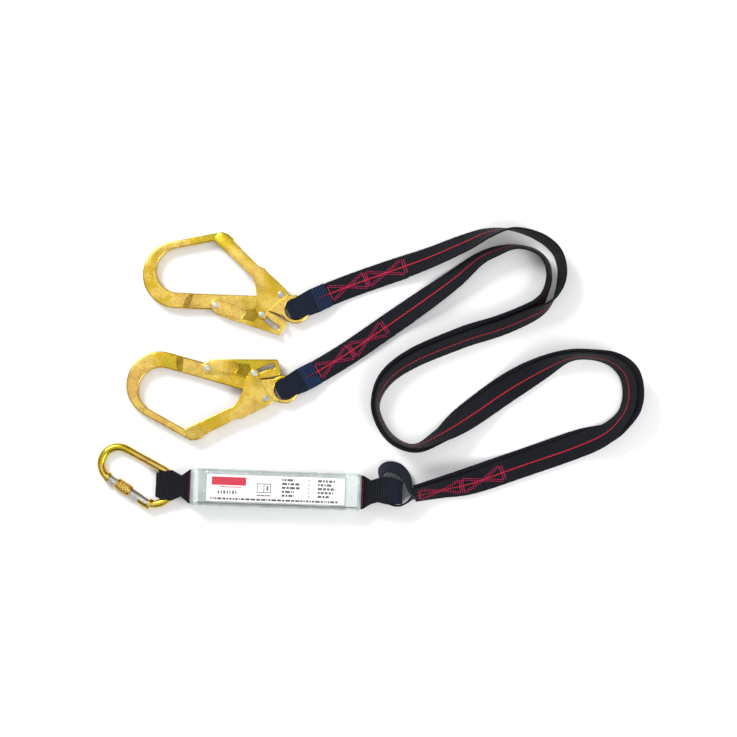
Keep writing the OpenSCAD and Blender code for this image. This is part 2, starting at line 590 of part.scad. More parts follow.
absorber_cover();
absorber_tear_webbing();
absorber_label();
absorber_stitching();
karabiner_eye();
legs_link_eye();
link_wear_sleeve();
color("#1b1b22") leg_webbing(leg_1_rows);  // leg_1_webbing
color("#1b1b22") leg_webbing(leg_2_rows);  // leg_2_webbing
legs_joint_loop();
color("#1b1b22") hook_loop(HOOKS[0]);  // leg_1_hook_loop
color("#1b1b22") hook_loop(HOOKS[1]);  // leg_2_hook_loop
color("midnightblue") wear_sleeve(HOOKS[0]);  // leg_1_wear_sleeve
color("midnightblue") wear_sleeve(HOOKS[1]);  // leg_2_wear_sleeve
color("#1b1b22") leg_tail(leg_1_rows);  // leg_1_tail
color("#1b1b22") leg_tail(leg_2_rows);  // leg_2_tail
color("crimson") leg_stitching(leg_1_rows);  // leg_1_stitching
color("crimson") leg_stitching(leg_2_rows);  // leg_2_stitching
karabiner_body();
karabiner_gate();
karabiner_hinge_pin();
karabiner_nose_pin();
karabiner_plunger();
karabiner_gate_spring();
screw_sleeve();
screw_sleeve_thread();
hook_body(HOOKS[0]);  // hook_1_body
hook_gate(HOOKS[0]);  // hook_1_gate
hook_lock_lever(HOOKS[0]);  // hook_1_lock_lever
hook_gate_rivet(HOOKS[0]);  // hook_1_gate_rivet
hook_lock_pin(HOOKS[0]);  // hook_1_lock_pin
hook_lever_rivet(HOOKS[0]);  // hook_1_lever_rivet
hook_gate_spring(HOOKS[0]);  // hook_1_gate_spring
hook_lock_spring(HOOKS[0]);  // hook_1_lock_spring
hook_body(HOOKS[1]);  // hook_2_body
hook_gate(HOOKS[1]);  // hook_2_gate
hook_lock_lever(HOOKS[1]);  // hook_2_lock_lever
hook_gate_rivet(HOOKS[1]);  // hook_2_gate_rivet
hook_lock_pin(HOOKS[1]);  // hook_2_lock_pin
hook_lever_rivet(HOOKS[1]);  // hook_2_lever_rivet
hook_gate_spring(HOOKS[1]);  // hook_2_gate_spring
hook_lock_spring(HOOKS[1]);  // hook_2_lock_spring
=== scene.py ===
"""Detailed meshes and materials of a forked shock absorbing lanyard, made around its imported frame."""
import json
import math
import random

import bmesh
import bpy
from bpy.props import FloatProperty, FloatVectorProperty, IntProperty, PointerProperty
from mathutils import Matrix, Vector, noise


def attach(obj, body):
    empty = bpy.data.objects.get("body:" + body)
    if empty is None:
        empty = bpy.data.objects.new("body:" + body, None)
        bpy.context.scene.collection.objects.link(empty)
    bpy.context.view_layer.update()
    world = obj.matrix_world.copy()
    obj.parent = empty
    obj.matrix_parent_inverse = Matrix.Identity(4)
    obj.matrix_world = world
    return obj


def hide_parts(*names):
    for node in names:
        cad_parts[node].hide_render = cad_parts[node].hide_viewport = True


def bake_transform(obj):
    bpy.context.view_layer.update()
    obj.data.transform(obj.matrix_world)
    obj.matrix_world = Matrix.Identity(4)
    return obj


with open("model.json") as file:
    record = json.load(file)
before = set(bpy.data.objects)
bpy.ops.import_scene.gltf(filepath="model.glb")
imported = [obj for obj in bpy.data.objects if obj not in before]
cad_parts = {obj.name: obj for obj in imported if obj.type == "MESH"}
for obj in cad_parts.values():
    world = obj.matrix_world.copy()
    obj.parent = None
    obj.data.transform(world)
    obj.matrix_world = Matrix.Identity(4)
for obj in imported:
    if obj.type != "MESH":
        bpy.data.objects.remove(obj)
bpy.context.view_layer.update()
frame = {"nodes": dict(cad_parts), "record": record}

bl_info = {
    "name": "Shock absorbing lanyard",
    "version": (1, 0, 0),
    "blender": (4, 5, 0),
    "location": "View3D > Sidebar > Lanyard",
    "description": "Builds a forked lanyard with scaffold hooks, an absorber pack and a karabiner",
    "category": "Object",
}

MM = 0.001
UP = Vector((0, 0, 1))

# ---- The part's own sizes and routes, in metres ----

PACK_TURN = math.radians(-2)
PACK = Vector((0.220, 0.047, 0.028))
PACK_R = 6 * MM
PACK_END = PACK.x / 2
TEAR_T = 2.6 * MM
TAIL_Z = PACK.z / 2
LEG_W = 30 * MM
LEG_T = 2.4 * MM
HALF_GAP = (2.4 + 1.5) / 2 * MM
PLY = 2.45 * MM
SLEEVE_WALL = 0.7 * MM
HOOK_Z = 9.6 * MM
LOOP_L = 45 * MM
LOOP_OPEN = 20.5 * MM
LOOP_BACK = 9 * MM
LOOP_R = 6.8 * MM
LOOP_END_Z = 7.5 * MM
LINK_R = 14 * MM
LINK_Z = 14.9 * MM
LINK_X = PACK_END + 38 * MM
KB_Z = 8 * MM
KB_BIGHT_R = 7.9 * MM
SEWN_L = 107 * MM
EYE_C = (19 * MM, -18 * MM)
# Each hook: place of the gate pivot, turn, whether it is turned over, and the direction of its leg
HOOKS = (((6 * MM, 251.5 * MM), -2.4, False, 25), ((-13 * MM, 117 * MM), -15.8, True, 28))

# Rows of x, y, stand and shift, in metres and degrees: both legs follow these face to face
SHARED_ROUTE = [
    (0.178, -0.0055, 58, -0.001), (0.214, 0.003, 44, -0.002), (0.251, 0.0115, 22, -0.003),
    (0.310, 0.031, 0, -0.003), (0.385, 0.057, 0, -0.003), (0.426, 0.072, -35, -0.001),
    (0.447, 0.089, -58, 0.002), (0.458, 0.108, -60, 0.004), (0.460, 0.132, -60, 0.004),
    (0.453, 0.153, -63, 0.004), (0.434, 0.168, -71, 0.002), (0.405, 0.174, -78, 0),
    (0.377, 0.172, -71, 0.001), (0.345, 0.158, -42, 0.002), (0.300, 0.132, -8, 0.003),
    (0.245, 0.093, 18, 0.003), (0.210, 0.068, 55, 0.002), (0.180, 0.053, 78, 0),
    (0.152, 0.062, 79, 0), (0.134, 0.085, 79, 0), (0.128, 0.113, 78, 0),
    (0.143, 0.145, 64, -0.002), (0.180, 0.171, 56, -0.003), (0.240, 0.196, 55, -0.004),
]
# Rows of x, y and stand of each leg on its own, and a 1 where its sewn tail lies under it
ALONE_ROUTES = [
    [
        (0.290, 0.208, 55), (0.328, 0.224, 60), (0.348, 0.235, 75), (0.361, 0.249, 92),
        (0.369, 0.270, 104), (0.369, 0.292, 105), (0.360, 0.312, 104), (0.338, 0.328, 100),
        (0.306, 0.337, 88), (0.275, 0.332, 62), (0.245, 0.320, 40), (0.195, 0.299, 24, 1),
        (0.140, 0.280, 4, 1), (0.095, 0.264, 0, 1),
    ],
    [
        (0.287, 0.215, 55), (0.325, 0.231, 58), (0.340, 0.242, 66), (0.348, 0.255, 74),
        (0.353, 0.275, 74), (0.349, 0.295, 74), (0.334, 0.309, 76), (0.309, 0.314, 76),
        (0.284, 0.308, 62), (0.261, 0.297, 55), (0.231, 0.273, 35), (0.192, 0.245, 15, 1),
        (0.147, 0.214, 0, 1), (0.095, 0.178, 0, 1),
    ],
]
# The legs' common end, which stands in the link eye: rows of x, y and stand
JOINT_ROUTE = [
    (0.182, -0.0045, 60), (0.174, -0.002, 74), (0.171, 0.006, 70), (0.167, 0.0165, 58), (0.158, 0.0260, 50),
    (0.146, 0.0290, 50), (0.1370, 0.0250, 62), (0.1345, 0.014, 86), (0.135, 0.002, 88),
    (0.138, -0.010, 88), (0.146, -0.0185, 88), (0.158, -0.021, 88), (0.168, -0.017, 88),
    (0.175, -0.011, 80), (0.182, -0.0075, 60),
]
JOINT_W = 21 * MM
LEG_STEPS = 16
TEAR_LAYERS = 7
COVER_GAP = 1.1 * MM
LABEL_HALF = (88.5 * MM, 17 * MM)
# The film's two raised seals: where each starts and ends along the pack
SEALS = ((-105.5 * MM, -99.5 * MM), (90.5 * MM, 104.5 * MM))
# The part of a strap's half width beyond which its edge stays plain
SELVAGE = 0.93
# The camera: the point it looks at, its elevation in degrees, its distance, and the width that it sees
VIEW_CENTRE = (0.11895, 0.15665, 0.0)
VIEW_ELEVATION = 87
VIEW_DISTANCE = 2.4
VIEW_WIDTH = 0.9581
# The lights by name, place, size in metres and power in watts, and the brightness of the studio's
# surroundings from the horizon, at 0, up to the zenith, at 1
LIGHTS = (("key", (-0.9, 1.3, 1.2), 0.8, 34), ("fill", (1.3, -0.7, 1.3), 1.2, 24))
SKY = ((0.0, 0.45), (0.05, 0.42), (0.10, 0.02), (0.66, 0.28), (1.0, 1.12))


# ---- Curves ----

def between(a, b, c, d, t):
    """A point between b and c on the smooth curve through a, b, c and d."""
    return 0.5 * (2 * b + (c - a) * t + (2 * a - 5 * b + 4 * c - d) * t * t
                  + (3 * b - a - 3 * c + d) * t ** 3)


def smooth(rows, steps):
    """A smooth curve through rows of numbers, with that many steps between two rows."""
    last = len(rows) - 1
    out = []
    for i in range(last):
        four = [rows[max(i - 1, 0)], rows[i], rows[i + 1], rows[min(i + 2, last)]]
        for k in range(steps):
            out.append(tuple(between(*[row[j] for row in four], k / steps) for j in range(len(rows[0]))))
    return out + [tuple(rows[last])]


def rise(stand):
    """Height of a strap's middle when it stands at an angle on the surface."""
    s = math.radians(stand)
    return LEG_W / 2 * abs(math.sin(s)) + LEG_T / 2 * abs(math.cos(s)) + 0.1 * MM


def flat_tangent(points, i):
    a, b = points[max(i - 1, 0)], points[min(i + 1, len(points) - 1)]
    return (Vector(b[:2]) - Vector(a[:2])).normalized()


def turned(degrees, p):
    a = math.radians(degrees)
    return Vector((math.cos(a) * p[0] - math.sin(a) * p[1], math.sin(a) * p[0] + math.cos(a) * p[1]))


def on_hook(hook, p):
    """A point of a hook's own plane, in the row frame."""
    return Vector(hook[0]) + turned(hook[1], (p[0], -p[1] if hook[2] else p[1]))


def shared_rows(side, steps):
    """Rows of x, y, z and stand of a leg on the shared route: side is 1 for leg 1 and -1 for leg 2."""
    route = smooth(SHARED_ROUTE, steps)
    out = []
    for i, (x, y, stand, shift) in enumerate(route):
        t = flat_tangent(route, i)
        s, c = math.sin(math.radians(stand)), math.cos(math.radians(stand))
        across = side * (shift * c - HALF_GAP * s)
        up = rise(stand) + HALF_GAP * c + abs(shift * s) + side * (HALF_GAP * c + shift * s)
        out.append((x - across * t.y, y + across * t.x, up, stand))
    return out


def leg_rows(leg):
    """All the rows of x, y, z and stand of leg 0 or 1, from the link to its hook."""
    hook, steps = HOOKS[leg], LEG_STEPS
    shared = shared_rows(1 - 2 * leg, steps)
    end = on_hook(hook, EYE_C) + turned(hook[3], (LOOP_L + 0.7 * MM, 0))
    alone = [(r[0], r[1], rise(r[2]) + (PLY if len(r) > 3 else 0), r[2]) for r in ALONE_ROUTES[leg]]
    curve = smooth([shared[-1 - steps], shared[-1]] + alone + [(end.x, end.y, LOOP_END_Z, 0)], steps)
    rows = shared + curve[steps + 1:]
    sewn = len(rows) - 3 * steps
    return [(x, y, max(z, rise(s) + (PLY if i > sewn else 0)), s) for i, (x, y, z, s) in enumerate(rows)]


class Station:
    """A place on a strap: its middle, its directions across and out of its face, and its half width."""

    def __init__(self, centre, wide, face, half, s=0.0):
        self.centre, self.wide, self.face, self.half, self.s = centre, wide, face, half, s

    def at(self, u, v=0.0):
        """The point at u metres across and v metres out of the face."""
        return self.centre + u * self.wide + v * self.face


def even_rows(rows, step):
    """Rows of x, y, z and stand at even distances along their line."""
    points = [Vector(r[:3]) for r in rows]
    lengths = [0.0]
    for a, b in zip(points, points[1:]):
        lengths.append(lengths[-1] + (b - a).length)
    count = max(2, round(lengths[-1] / step))
    out = []
    j = 0
    for i in range(count + 1):
        s = lengths[-1] * i / count
        while j < len(lengths) - 2 and lengths[j + 1] < s:
            j += 1
        t = (s - lengths[j]) / max(lengths[j + 1] - lengths[j], 1e-9)
        out.append((points[j].lerp(points[j + 1], t), rows[j][3] + (rows[j + 1][3] - rows[j][3]) * t, s))
    return out


def strap_stations(rows, step, half, reach=6):
    """Stations of a strap whose rows give the stand of its width to the surface."""
    even = even_rows(rows, step)
    out = []
    for i, (p, stand, s) in enumerate(even):
        along = (even[min(i + reach, len(even) - 1)][0] - even[max(i - reach, 0)][0]).normalized()
        side = UP.cross(along).normalized()
        up = along.cross(side)
        a = math.radians(stand)
        wide = math.cos(a) * side + math.sin(a) * up
        out.append(Station(p, wide, along.cross(wide), half, s))
    return out


def plane_stations(path, step, origin, direction, low, high):
    """Stations of a band whose middle line lies in an upright plane: path is (x, z) from origin along
    direction, and low and high give the band's two edges at x."""
    rows = even_rows([(x, 0, z, 0) for x, z in path], step)
    along = Vector((direction.x, direction.y, 0))
    across = Vector((-direction.y, direction.x, 0))
    out = []
    for i, (p, _, s) in enumerate(rows):
        a, b = rows[max(i - 2, 0)][0], rows[min(i + 2, len(rows) - 1)][0]
        t = (b - a).normalized()
        middle = (low(p.x) + high(p.x)) / 2
        face = (-t.z * along + t.x * UP)
        out.append(Station(Vector((origin.x, origin.y, 0)) + p.x * along + p.z * UP + middle * across,
                           across, face, (high(p.x) - low(p.x)) / 2, s))
    return out


def steps_of(*knots):
    """A function that runs in straight lines through (x, value) knots."""
    def value(x):
        if x <= knots[0][0]:
            return knots[0][1]
        for (x0, v0), (x1, v1) in zip(knots, knots[1:]):
            if x <= x1:
                return v0 + (v1 - v0) * (x - x0) / (x1 - x0)
        return knots[-1][1]
    return value


def arc(cx, cz, r, start, end, count=16):
    angles = [math.radians(start + (end - start) * i / count) for i in range(count + 1)]
    return [(cx + r * math.cos(a), cz + r * math.sin(a)) for a in angles]


# ---- Meshes ----

class Maker:
    """Gathers points and faces, each face with its material, and makes them one object."""

    def __init__(self):
        self.points, self.faces, self.slots, self.along, self.across = [], [], [], [], []

    def point(self, p, along=0.0, across=0.0):
        self.points.append(tuple(p))
        self.along.append(along)
        self.across.append(across)
        return len(self.points) - 1

    def face(self, corners, slot=0):
        self.faces.append(tuple(corners))
        self.slots.append(slot)

    def tube(self, rings, slots=lambda k, i: 0, closed_ends=True):
        """Joins rings of point numbers into a tube. slots gives the material at a side and a ring."""
        n = len(rings[0])
        for i, (a, b) in enumerate(zip(rings, rings[1:])):
            for k in range(n):
                m = (k + 1) % n
                self.face((a[k], a[m], b[m], b[k]), slots(k, i))
        if closed_ends:
            self.face(tuple(reversed(rings[0])))
            self.face(tuple(rings[-1]))

    def make(self, name, *materials, shade=True):
        mesh = bpy.data.meshes.new(name)
        mesh.from_pydata(self.points, [], self.faces)
        for key, values in (("along", self.along), ("across", self.across)):
            mesh.attributes.new(key, "FLOAT", "POINT").data.foreach_set("value", values)
        mesh.polygons.foreach_set("material_index", self.slots)
        piece = bpy.data.objects.new(name, mesh)
        bpy.context.scene.collection.objects.link(piece)
        for material in materials:
            mesh.materials.append(material)
        bm = bmesh.new()
        bm.from_mesh(mesh)
        bmesh.ops.recalc_face_normals(bm, faces=bm.faces)
        bm.to_mesh(mesh)
        bm.free()
        if shade:
            mesh.shade_smooth()
        return piece


def ribs(pitch, height):
    """The height of rounded cross ribs at a distance along a strap."""
    return lambda s: height * (abs(math.sin(math.pi * s / pitch)) ** 0.6 - 0.6)


def strap(maker, stations, thickness, raised=0.0, relief=lambda s: 0.0, tracer=0.0, waves=0.0, seed=0.0,
          slot=lambda s: 0):
    """Adds a woven strap: both faces carry the relief, and the edges stay plain and rounded.
    tracer is the half width of a coloured line down the middle of its upper face, and slot gives the
    material at a distance along the strap."""
    marks = [1.0, 0.955, 0.90, 0.62, 0.33] + ([tracer + 0.02, tracer] if tracer else [])
    marks += ([] if tracer else [0.0]) + [-m for m in reversed(marks)]
    top = [(u, 1) for u in marks]
    profile = top + [(-1.012, 0)] + [(-u, -1) for u, _ in top] + [(1.012, 0)]
    line = next((k for k, point in enumerate(profile[:-1]) if tracer and point[0] == tracer), None)
    rings = []
    for st in stations:
        ring = []
        lift = relief(st.s)
        for u, side in profile:
            edge = abs(u) > SELVAGE
            on_line = tracer and side > 0 and abs(u) <= tracer
            h = thickness / 2 * (0.72 if abs(u) == 1.0 else 1.0)
            h += 0.0 if edge else lift
            h += 0.12 * MM if SELVAGE < abs(u) < 0.97 else 0.0
            h += 0.18 * MM if on_line else 0.0
            sway = waves * noise.noise(Vector((st.s * 55, u * 1.4, seed))) if waves else 0.0
            frayed = 0.012 * noise.noise(Vector((st.s * 160, seed, 3))) if edge else 0
            half = st.half * (1 + frayed)
            if on_line:
                u += 0.014 * math.sin(math.pi * st.s / (3.0 * MM))
            p = st.at(u * half, raised + side * h + sway)
            p.z = max(p.z, 0.05 * MM)
            ring.append(maker.point(p, st.s, u * st.half))
        rings.append(ring)
    maker.tube(rings, lambda k, i: 1 if line is not None and k == line else slot(stations[i].s))
    return maker


def thread(maker, a, b, out, r, slot=0, sides=6):
    """Adds one stitch: a short thread that comes up out of the cloth and goes back in."""
    d = (b - a).normalized()
    side = d.cross(out).normalized()
    rings = []
    for t, size, lift in ((-0.06, 0.35, -0.9), (0.08, 0.9, 0.1), (0.3, 1.0, 0.55), (0.5, 1.0, 0.7),
                          (0.7, 1.0, 0.55), (0.92, 0.9, 0.1), (1.06, 0.35, -0.9)):
        c = a + (b - a) * t + out * (lift * r)
        rings.append([maker.point(c + size * r * (math.cos(2 * math.pi * k / sides) * side
                                                  + math.sin(2 * math.pi * k / sides) * out))
                      for k in range(sides)])
    maker.tube(rings, lambda k, i: slot)


def seam(maker, line, pitch, r, fill=0.72, slot=0):
    """Adds stitches of a pitch and a thread radius along a line of (point, out) pairs. fill is the share of
    the pitch that a stitch covers, and slot its material."""
    lengths = [0.0]
    for (a, _), (b, _) in zip(line, line[1:]):
        lengths.append(lengths[-1] + (b - a).length)
    def place(s):
        j = next((i for i in range(len(lengths) - 1) if lengths[i + 1] >= s), len(lengths) - 2)
        t = (s - lengths[j]) / max(lengths[j + 1] - lengths[j], 1e-9)
        return line[j][0].lerp(line[j + 1][0], t), line[j][1].lerp(line[j + 1][1], t).normalized()
    count = max(1, int(lengths[-1] / pitch))
    for i in range(count):
        a, out = place(lengths[-1] * i / count)
        b, _ = place(lengths[-1] * (i + fill) / count)
        thread(maker, a, b, out, r, slot)


def slab(maker, outline, z0, z1, place=lambda p: p, slot=0):
    """Adds a plate between two heights, from an outline in its own plane."""
    low = [maker.point(place(Vector((x, y, z0)))) for x, y in outline]
    high = [maker.point(place(Vector((x, y, z1)))) for x, y in outline]
    n = len(outline)
    for k in range(n):
        m = (k + 1) % n
        maker.face((low[k], low[m], high[m], high[k]), slot)
    maker.face(tuple(reversed(low)), slot)
    maker.face(tuple(high), slot)


def finish_shape(piece, *modifiers):
    """Applies modifiers, given as (type, settings), to a piece's mesh."""
    for kind, settings in modifiers:
        m = piece.modifiers.new(kind.title(), kind)
        for key, value in settings.items():
            setattr(m, key, value)
    bpy.context.view_layer.update()
    mesh = bpy.data.meshes.new_from_object(piece.evaluated_get(bpy.context.evaluated_depsgraph_get()))
    piece.modifiers.clear()
    piece.data = mesh
    return piece


def rounded(node, name, width, material, segments=2, angle=32):
    """A copy of a rigid CAD node with its sharp edges rounded, in a new piece that stands for it."""
    source = frame["nodes"][node]
    mesh = source.data.copy()
    bm = bmesh.new()
    bm.from_mesh(mesh)
    bm.transform(source.matrix_world)
    bmesh.ops.remove_doubles(bm, verts=bm.verts, dist=0.01 * MM)
    bmesh.ops.dissolve_limit(bm, angle_limit=math.radians(0.6), verts=bm.verts, edges=bm.edges)
    bm.to_mesh(mesh)
    bm.free()
    mesh.materials.clear()
    mesh.materials.append(material)
    mesh.polygons.foreach_set("material_index", [0] * len(mesh.polygons))
    piece = bpy.data.objects.new(name, mesh)
    bpy.context.scene.collection.objects.link(piece)
    finish_shape(piece,
                 ("BEVEL", dict(width=width, segments=segments, limit_method="ANGLE",
                                angle_limit=math.radians(angle), harden_normals=False,
                                use_clamp_overlap=width <= 0.5 * MM)),
                 ("TRIANGULATE", dict(min_vertices=5)))
    smooth_by_angle(piece, 38)
    return put(piece, node)


def smooth_by_angle(piece, degrees):
    """Shades a piece smoothly, apart from its edges sharper than an angle."""
    piece.data.shade_smooth()
    bm = bmesh.new()
    bm.from_mesh(piece.data)
    for e in bm.edges:
        e.smooth = len(e.link_faces) != 2 or e.calc_face_angle(0) < math.radians(degrees)
    bm.to_mesh(piece.data)
    bm.free()


def body_of(node):
    bodies = frame["record"]["behaviour"]["bodies"]
    return next(name for name, nodes in bodies.items() if node in nodes)


def put(piece, node, bends=None):
    """The piece stands for its CAD node, which it hides, and follows that node's body. With bends, it
    is left in place without a body instead; the body and the ends of the bend in bends are not used."""
    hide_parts(node)
    if bends:
        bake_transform(piece)
    else:
        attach(piece, body_of(node))
    return piece


# ---- Materials ----

class Value:
    """One output of a shader node, on which arithmetic adds Math nodes."""

    def __init__(self, shade, socket):
        self.shade, self.socket = shade, socket

    def _math(self, operation, *values):
        return self.shade.node("ShaderNodeMath", {"operation": operation}, dict(enumerate(values)))

    def clamp(self, low=0.0, high=1.0):
        return self._math("MINIMUM", self._math("MAXIMUM", self, low), high)

    def step(self, low, high):
        """0 below low, 1 above high, and smooth between them."""
        settings = {"interpolation_type": "SMOOTHSTEP"}
        values = {"Value": self, "From Min": low, "From Max": high, "To Min": 0.0, "To Max": 1.0}
        return self.shade.node("ShaderNodeMapRange", settings, values, "Result")

    __add__ = lambda self, other: self._math("ADD", self, other)
    __radd__ = lambda self, other: self._math("ADD", other, self)
    __sub__ = lambda self, other: self._math("SUBTRACT", self, other)
    __rsub__ = lambda self, other: self._math("SUBTRACT", other, self)
    __mul__ = lambda self, other: self._math("MULTIPLY", self, other)
    __rmul__ = lambda self, other: self._math("MULTIPLY", other, self)
    __pow__ = lambda self, other: self._math("POWER", self, other)


class Shade:
    """A material under construction: one Principled shader and the nodes that feed it."""

    def __init__(self, name, **constants):
        self.material = bpy.data.materials.new(name)
        self.material.use_nodes = True
        self.tree = self.material.node_tree
        self.shader = self.tree.nodes["Principled BSDF"]
        for key, value in constants.items():
            self.shader.inputs[key.replace("_", " ")].default_value = value

    def node(self, kind, settings=None, values=None, output=0):
        """Adds a node, sets it up, feeds its sockets, and returns one of its outputs."""
        node = self.tree.nodes.new(kind)
        for key, value in (settings or {}).items():
            if key == "stops":
                ramp = node.color_ramp
                while len(ramp.elements) < len(value):
                    ramp.elements.new(0.5)
                for element, (place, colour) in zip(ramp.elements, value):
                    element.position = place
                    element.color = (*colour, 1)
            else:
                setattr(node, key, value)
        for key, value in (values or {}).items():
            self.feed(node.inputs[key], value)
        return Value(self, node.outputs[output])

    def feed(self, socket, value):
        if isinstance(value, Value):
            self.tree.links.new(value.socket, socket)
        elif isinstance(value, (tuple, list)) and len(value) == 3 and socket.type == "RGBA":
            socket.default_value = (*value, 1)
        else:
            socket.default_value = value

    def set(self, **inputs):
        for key, value in inputs.items():
            self.feed(self.shader.inputs[key.replace("_", " ")], value)
        return self

    def position(self):
        return self.node("ShaderNodeTexCoord", {}, {}, "Object")

    def attribute(self, name):
        return self.node("ShaderNodeAttribute", {"attribute_name": name}, {}, "Fac")

    def noise(self, scale, detail=3.0, roughness=0.55, vector=None):
        values = {"Vector": vector or self.position(), "Scale": scale, "Detail": detail,
                  "Roughness": roughness}
        return self.node("ShaderNodeTexNoise", {}, values, "Fac")

    def vector(self, x, y, z=0.0):
        return self.node("ShaderNodeCombineXYZ", {}, {"X": x, "Y": y, "Z": z})

    def mix(self, amount, a, b):
        settings = {"data_type": "RGBA"}
        return self.node("ShaderNodeMix", settings, {0: amount, 6: a, 7: b}, 2)

    def ramp(self, value, *stops):
        return self.node("ShaderNodeValToRGB", {"stops": stops}, {"Fac": value}, "Color")

    def bump(self, height, strength, distance):
        values = {"Height": height, "Strength": strength, "Distance": distance}
        bump = self.node("ShaderNodeBump", {}, values, "Normal")
        return self.set(Normal=bump)


def colour(name):
    return tuple(getattr(bpy.context.scene.lanyard_colours, name))


def weave(shade, along_pitch, across_pitch):
    """Height of a plain weave, from the strap's own directions."""
    s = shade.attribute("along") * (2 * math.pi / along_pitch)
    u = shade.attribute("across") * (2 * math.pi / across_pitch)
    wave = shade.node("ShaderNodeMath", {"operation": "SINE"}, {0: s})
    other = shade.node("ShaderNodeMath", {"operation": "SINE"}, {0: u})
    return wave * other * 0.5 + 0.5


def make_webbing(name, base, tint, pitch, along_pitch=1.5 * MM, across_pitch=1.2 * MM):
    """Ribbed cloth: painted shade between the ribs, which stand pitch apart, and a painted highlight of the
    tint on their tops, mixed with random wear.
    """
    shade = Shade(name, Sheen_Weight=0.05, Sheen_Roughness=0.5, Specular_IOR_Level=0.12)
    cloth = weave(shade, along_pitch, across_pitch)
    dust = shade.noise(240, 4)
    patches = shade.noise(24, 2)
    phase = shade.attribute("along") * (2 * math.pi / pitch)
    rib = 0.5 - 0.5 * shade.node("ShaderNodeMath", {"operation": "COSINE"}, {0: phase})
    # Painted light: the rib mask lays the tint on the ribs' tops as a painted highlight and leaves painted
    # shade between them; the patches and dust add random wear.
    wear_and_painted_light = (rib.step(0.45, 0.95) * 0.85 + patches * 0.5 + dust * 0.4 - 0.4).clamp()
    shade.set(Base_Color=shade.mix(wear_and_painted_light, base, tint), Roughness=(0.55 + cloth * 0.14 + dust * 0.16).clamp())
    shade.bump(cloth * 0.6 + dust * 0.5 + rib * 0.8, 0.8, 0.3 * MM)
    return shade.material


def make_thread(name, base, light, pitch=1.0):
    """Twisted thread. Where it runs along a strap, it darkens between ribs that stand pitch apart."""
    shade = Shade(name, Specular_IOR_Level=0.2)
    twist = shade.noise(1400, 2)
    phase = shade.attribute("along") * (2 * math.pi / pitch)
    dip = shade.node("ShaderNodeMath", {"operation": "COSINE"}, {0: phase}).step(0.2, 0.95) * 0.7
    lit = shade.mix(twist.step(0.3, 0.7), base, light)
    if pitch < 1:
        lit = shade.mix(dip, lit, colour("webbing"))
    shade.set(Base_Color=lit, Roughness=0.45 + twist * 0.25)
    shade.bump(twist, 0.6, 0.12 * MM)
    return shade.material


def make_gold(name="gold_zinc_plating", painted_shade=0.0):
    """Yellow zinc plating: a thin film whose hue drifts between gold, green and rose."""
    shade = Shade(name, Metallic=1.0)
    drift = shade.noise(13, 2)
    blot = shade.noise(120, 4, 0.6)
    grain = shade.noise(900, 5, 0.7)
    hue = shade.ramp((drift * 0.8 + blot * 0.25).clamp(), (0.40, colour("gold_green")),
                     (0.48, colour("gold")), (0.55, colour("gold_pale")), (0.63, colour("gold_rose")))
    deep = shade.noise(60, 4).step(0.45, 0.75) * 0.3
    # painted_shade darkens the whole plating towards the dark zinc colour, as painted shade; the grain and
    # the deep patches are the plating's own random dark grain.
    wear_and_painted_light = shade.mix((grain.step(0.40, 0.68) * 0.6 + deep + painted_shade).clamp(), hue, colour("gold_dark"))
    shade.set(Base_Color=wear_and_painted_light, Roughness=(0.13 + blot * 0.14 + grain * 0.12).clamp())
    shade.bump(grain * 0.6 + blot * 0.3, 0.4, 0.12 * MM)
    return shade.material


def make_steel(name, base, light, roughness):
    shade = Shade(name, Metallic=1.0)
    cloud = shade.noise(60, 3)
    grain = shade.noise(1100, 4)
    shade.set(Base_Color=shade.mix(cloud.step(0.3, 0.7), base, light),
              Roughness=(roughness + grain * 0.16 + cloud * 0.08).clamp())
    shade.bump(grain, 0.25, 0.08 * MM)
    return shade.material


def make_film():
    """Crinkled clear-grey film over a pale lining."""
    shade = Shade("cover_film", IOR=1.5, Coat_Weight=0.6, Coat_Roughness=0.12)
    x = shade.attribute("along")
    mottle = shade.noise(38, 5, 0.65)
    creases = shade.noise(150, 4, 0.7)
    fine = shade.noise(620, 3)
    base = shade.mix((mottle.step(0.32, 0.68) * 0.6 + 0.4).clamp(), colour("film_dark"), colour("film"))
    # Painted highlights: the creases, and below them the two seals, are mixed towards the film's highlight
    # colour.
    base = shade.mix(creases.step(0.55, 0.72) * 0.55, base, colour("film_light"))
    left = x.step(-0.1065, -0.1045) * (1 - x.step(-0.100, -0.0985))
    right = x.step(0.0895, 0.091) * (1 - x.step(0.1035, 0.1055))
    base = shade.mix(((left + right) * 0.55).clamp(), base, colour("film_light"))
    shade.set(Base_Color=base, Roughness=(0.20 + mottle * 0.22).clamp(),
              Metallic=(creases.step(0.4, 0.7) * 0.25))
    shade.bump(creases * 0.8 + fine * 0.15 + mottle * 0.5, 0.8, 0.9 * MM)
    return shade.material


def make_plain(name, base, tint, roughness, coat=0.0, grain=400):
    shade = Shade(name, Coat_Weight=coat, Coat_Roughness=0.18)
    spots = shade.noise(grain, 3)
    patches = shade.noise(30, 2)
    shade.set(Base_Color=shade.mix((patches * 0.6 + spots * 0.4).step(0.3, 0.7), base, tint),
              Roughness=(roughness + spots * 0.12).clamp())
    shade.bump(spots, 0.2, 0.06 * MM)
    return shade.material


MATERIALS = {}


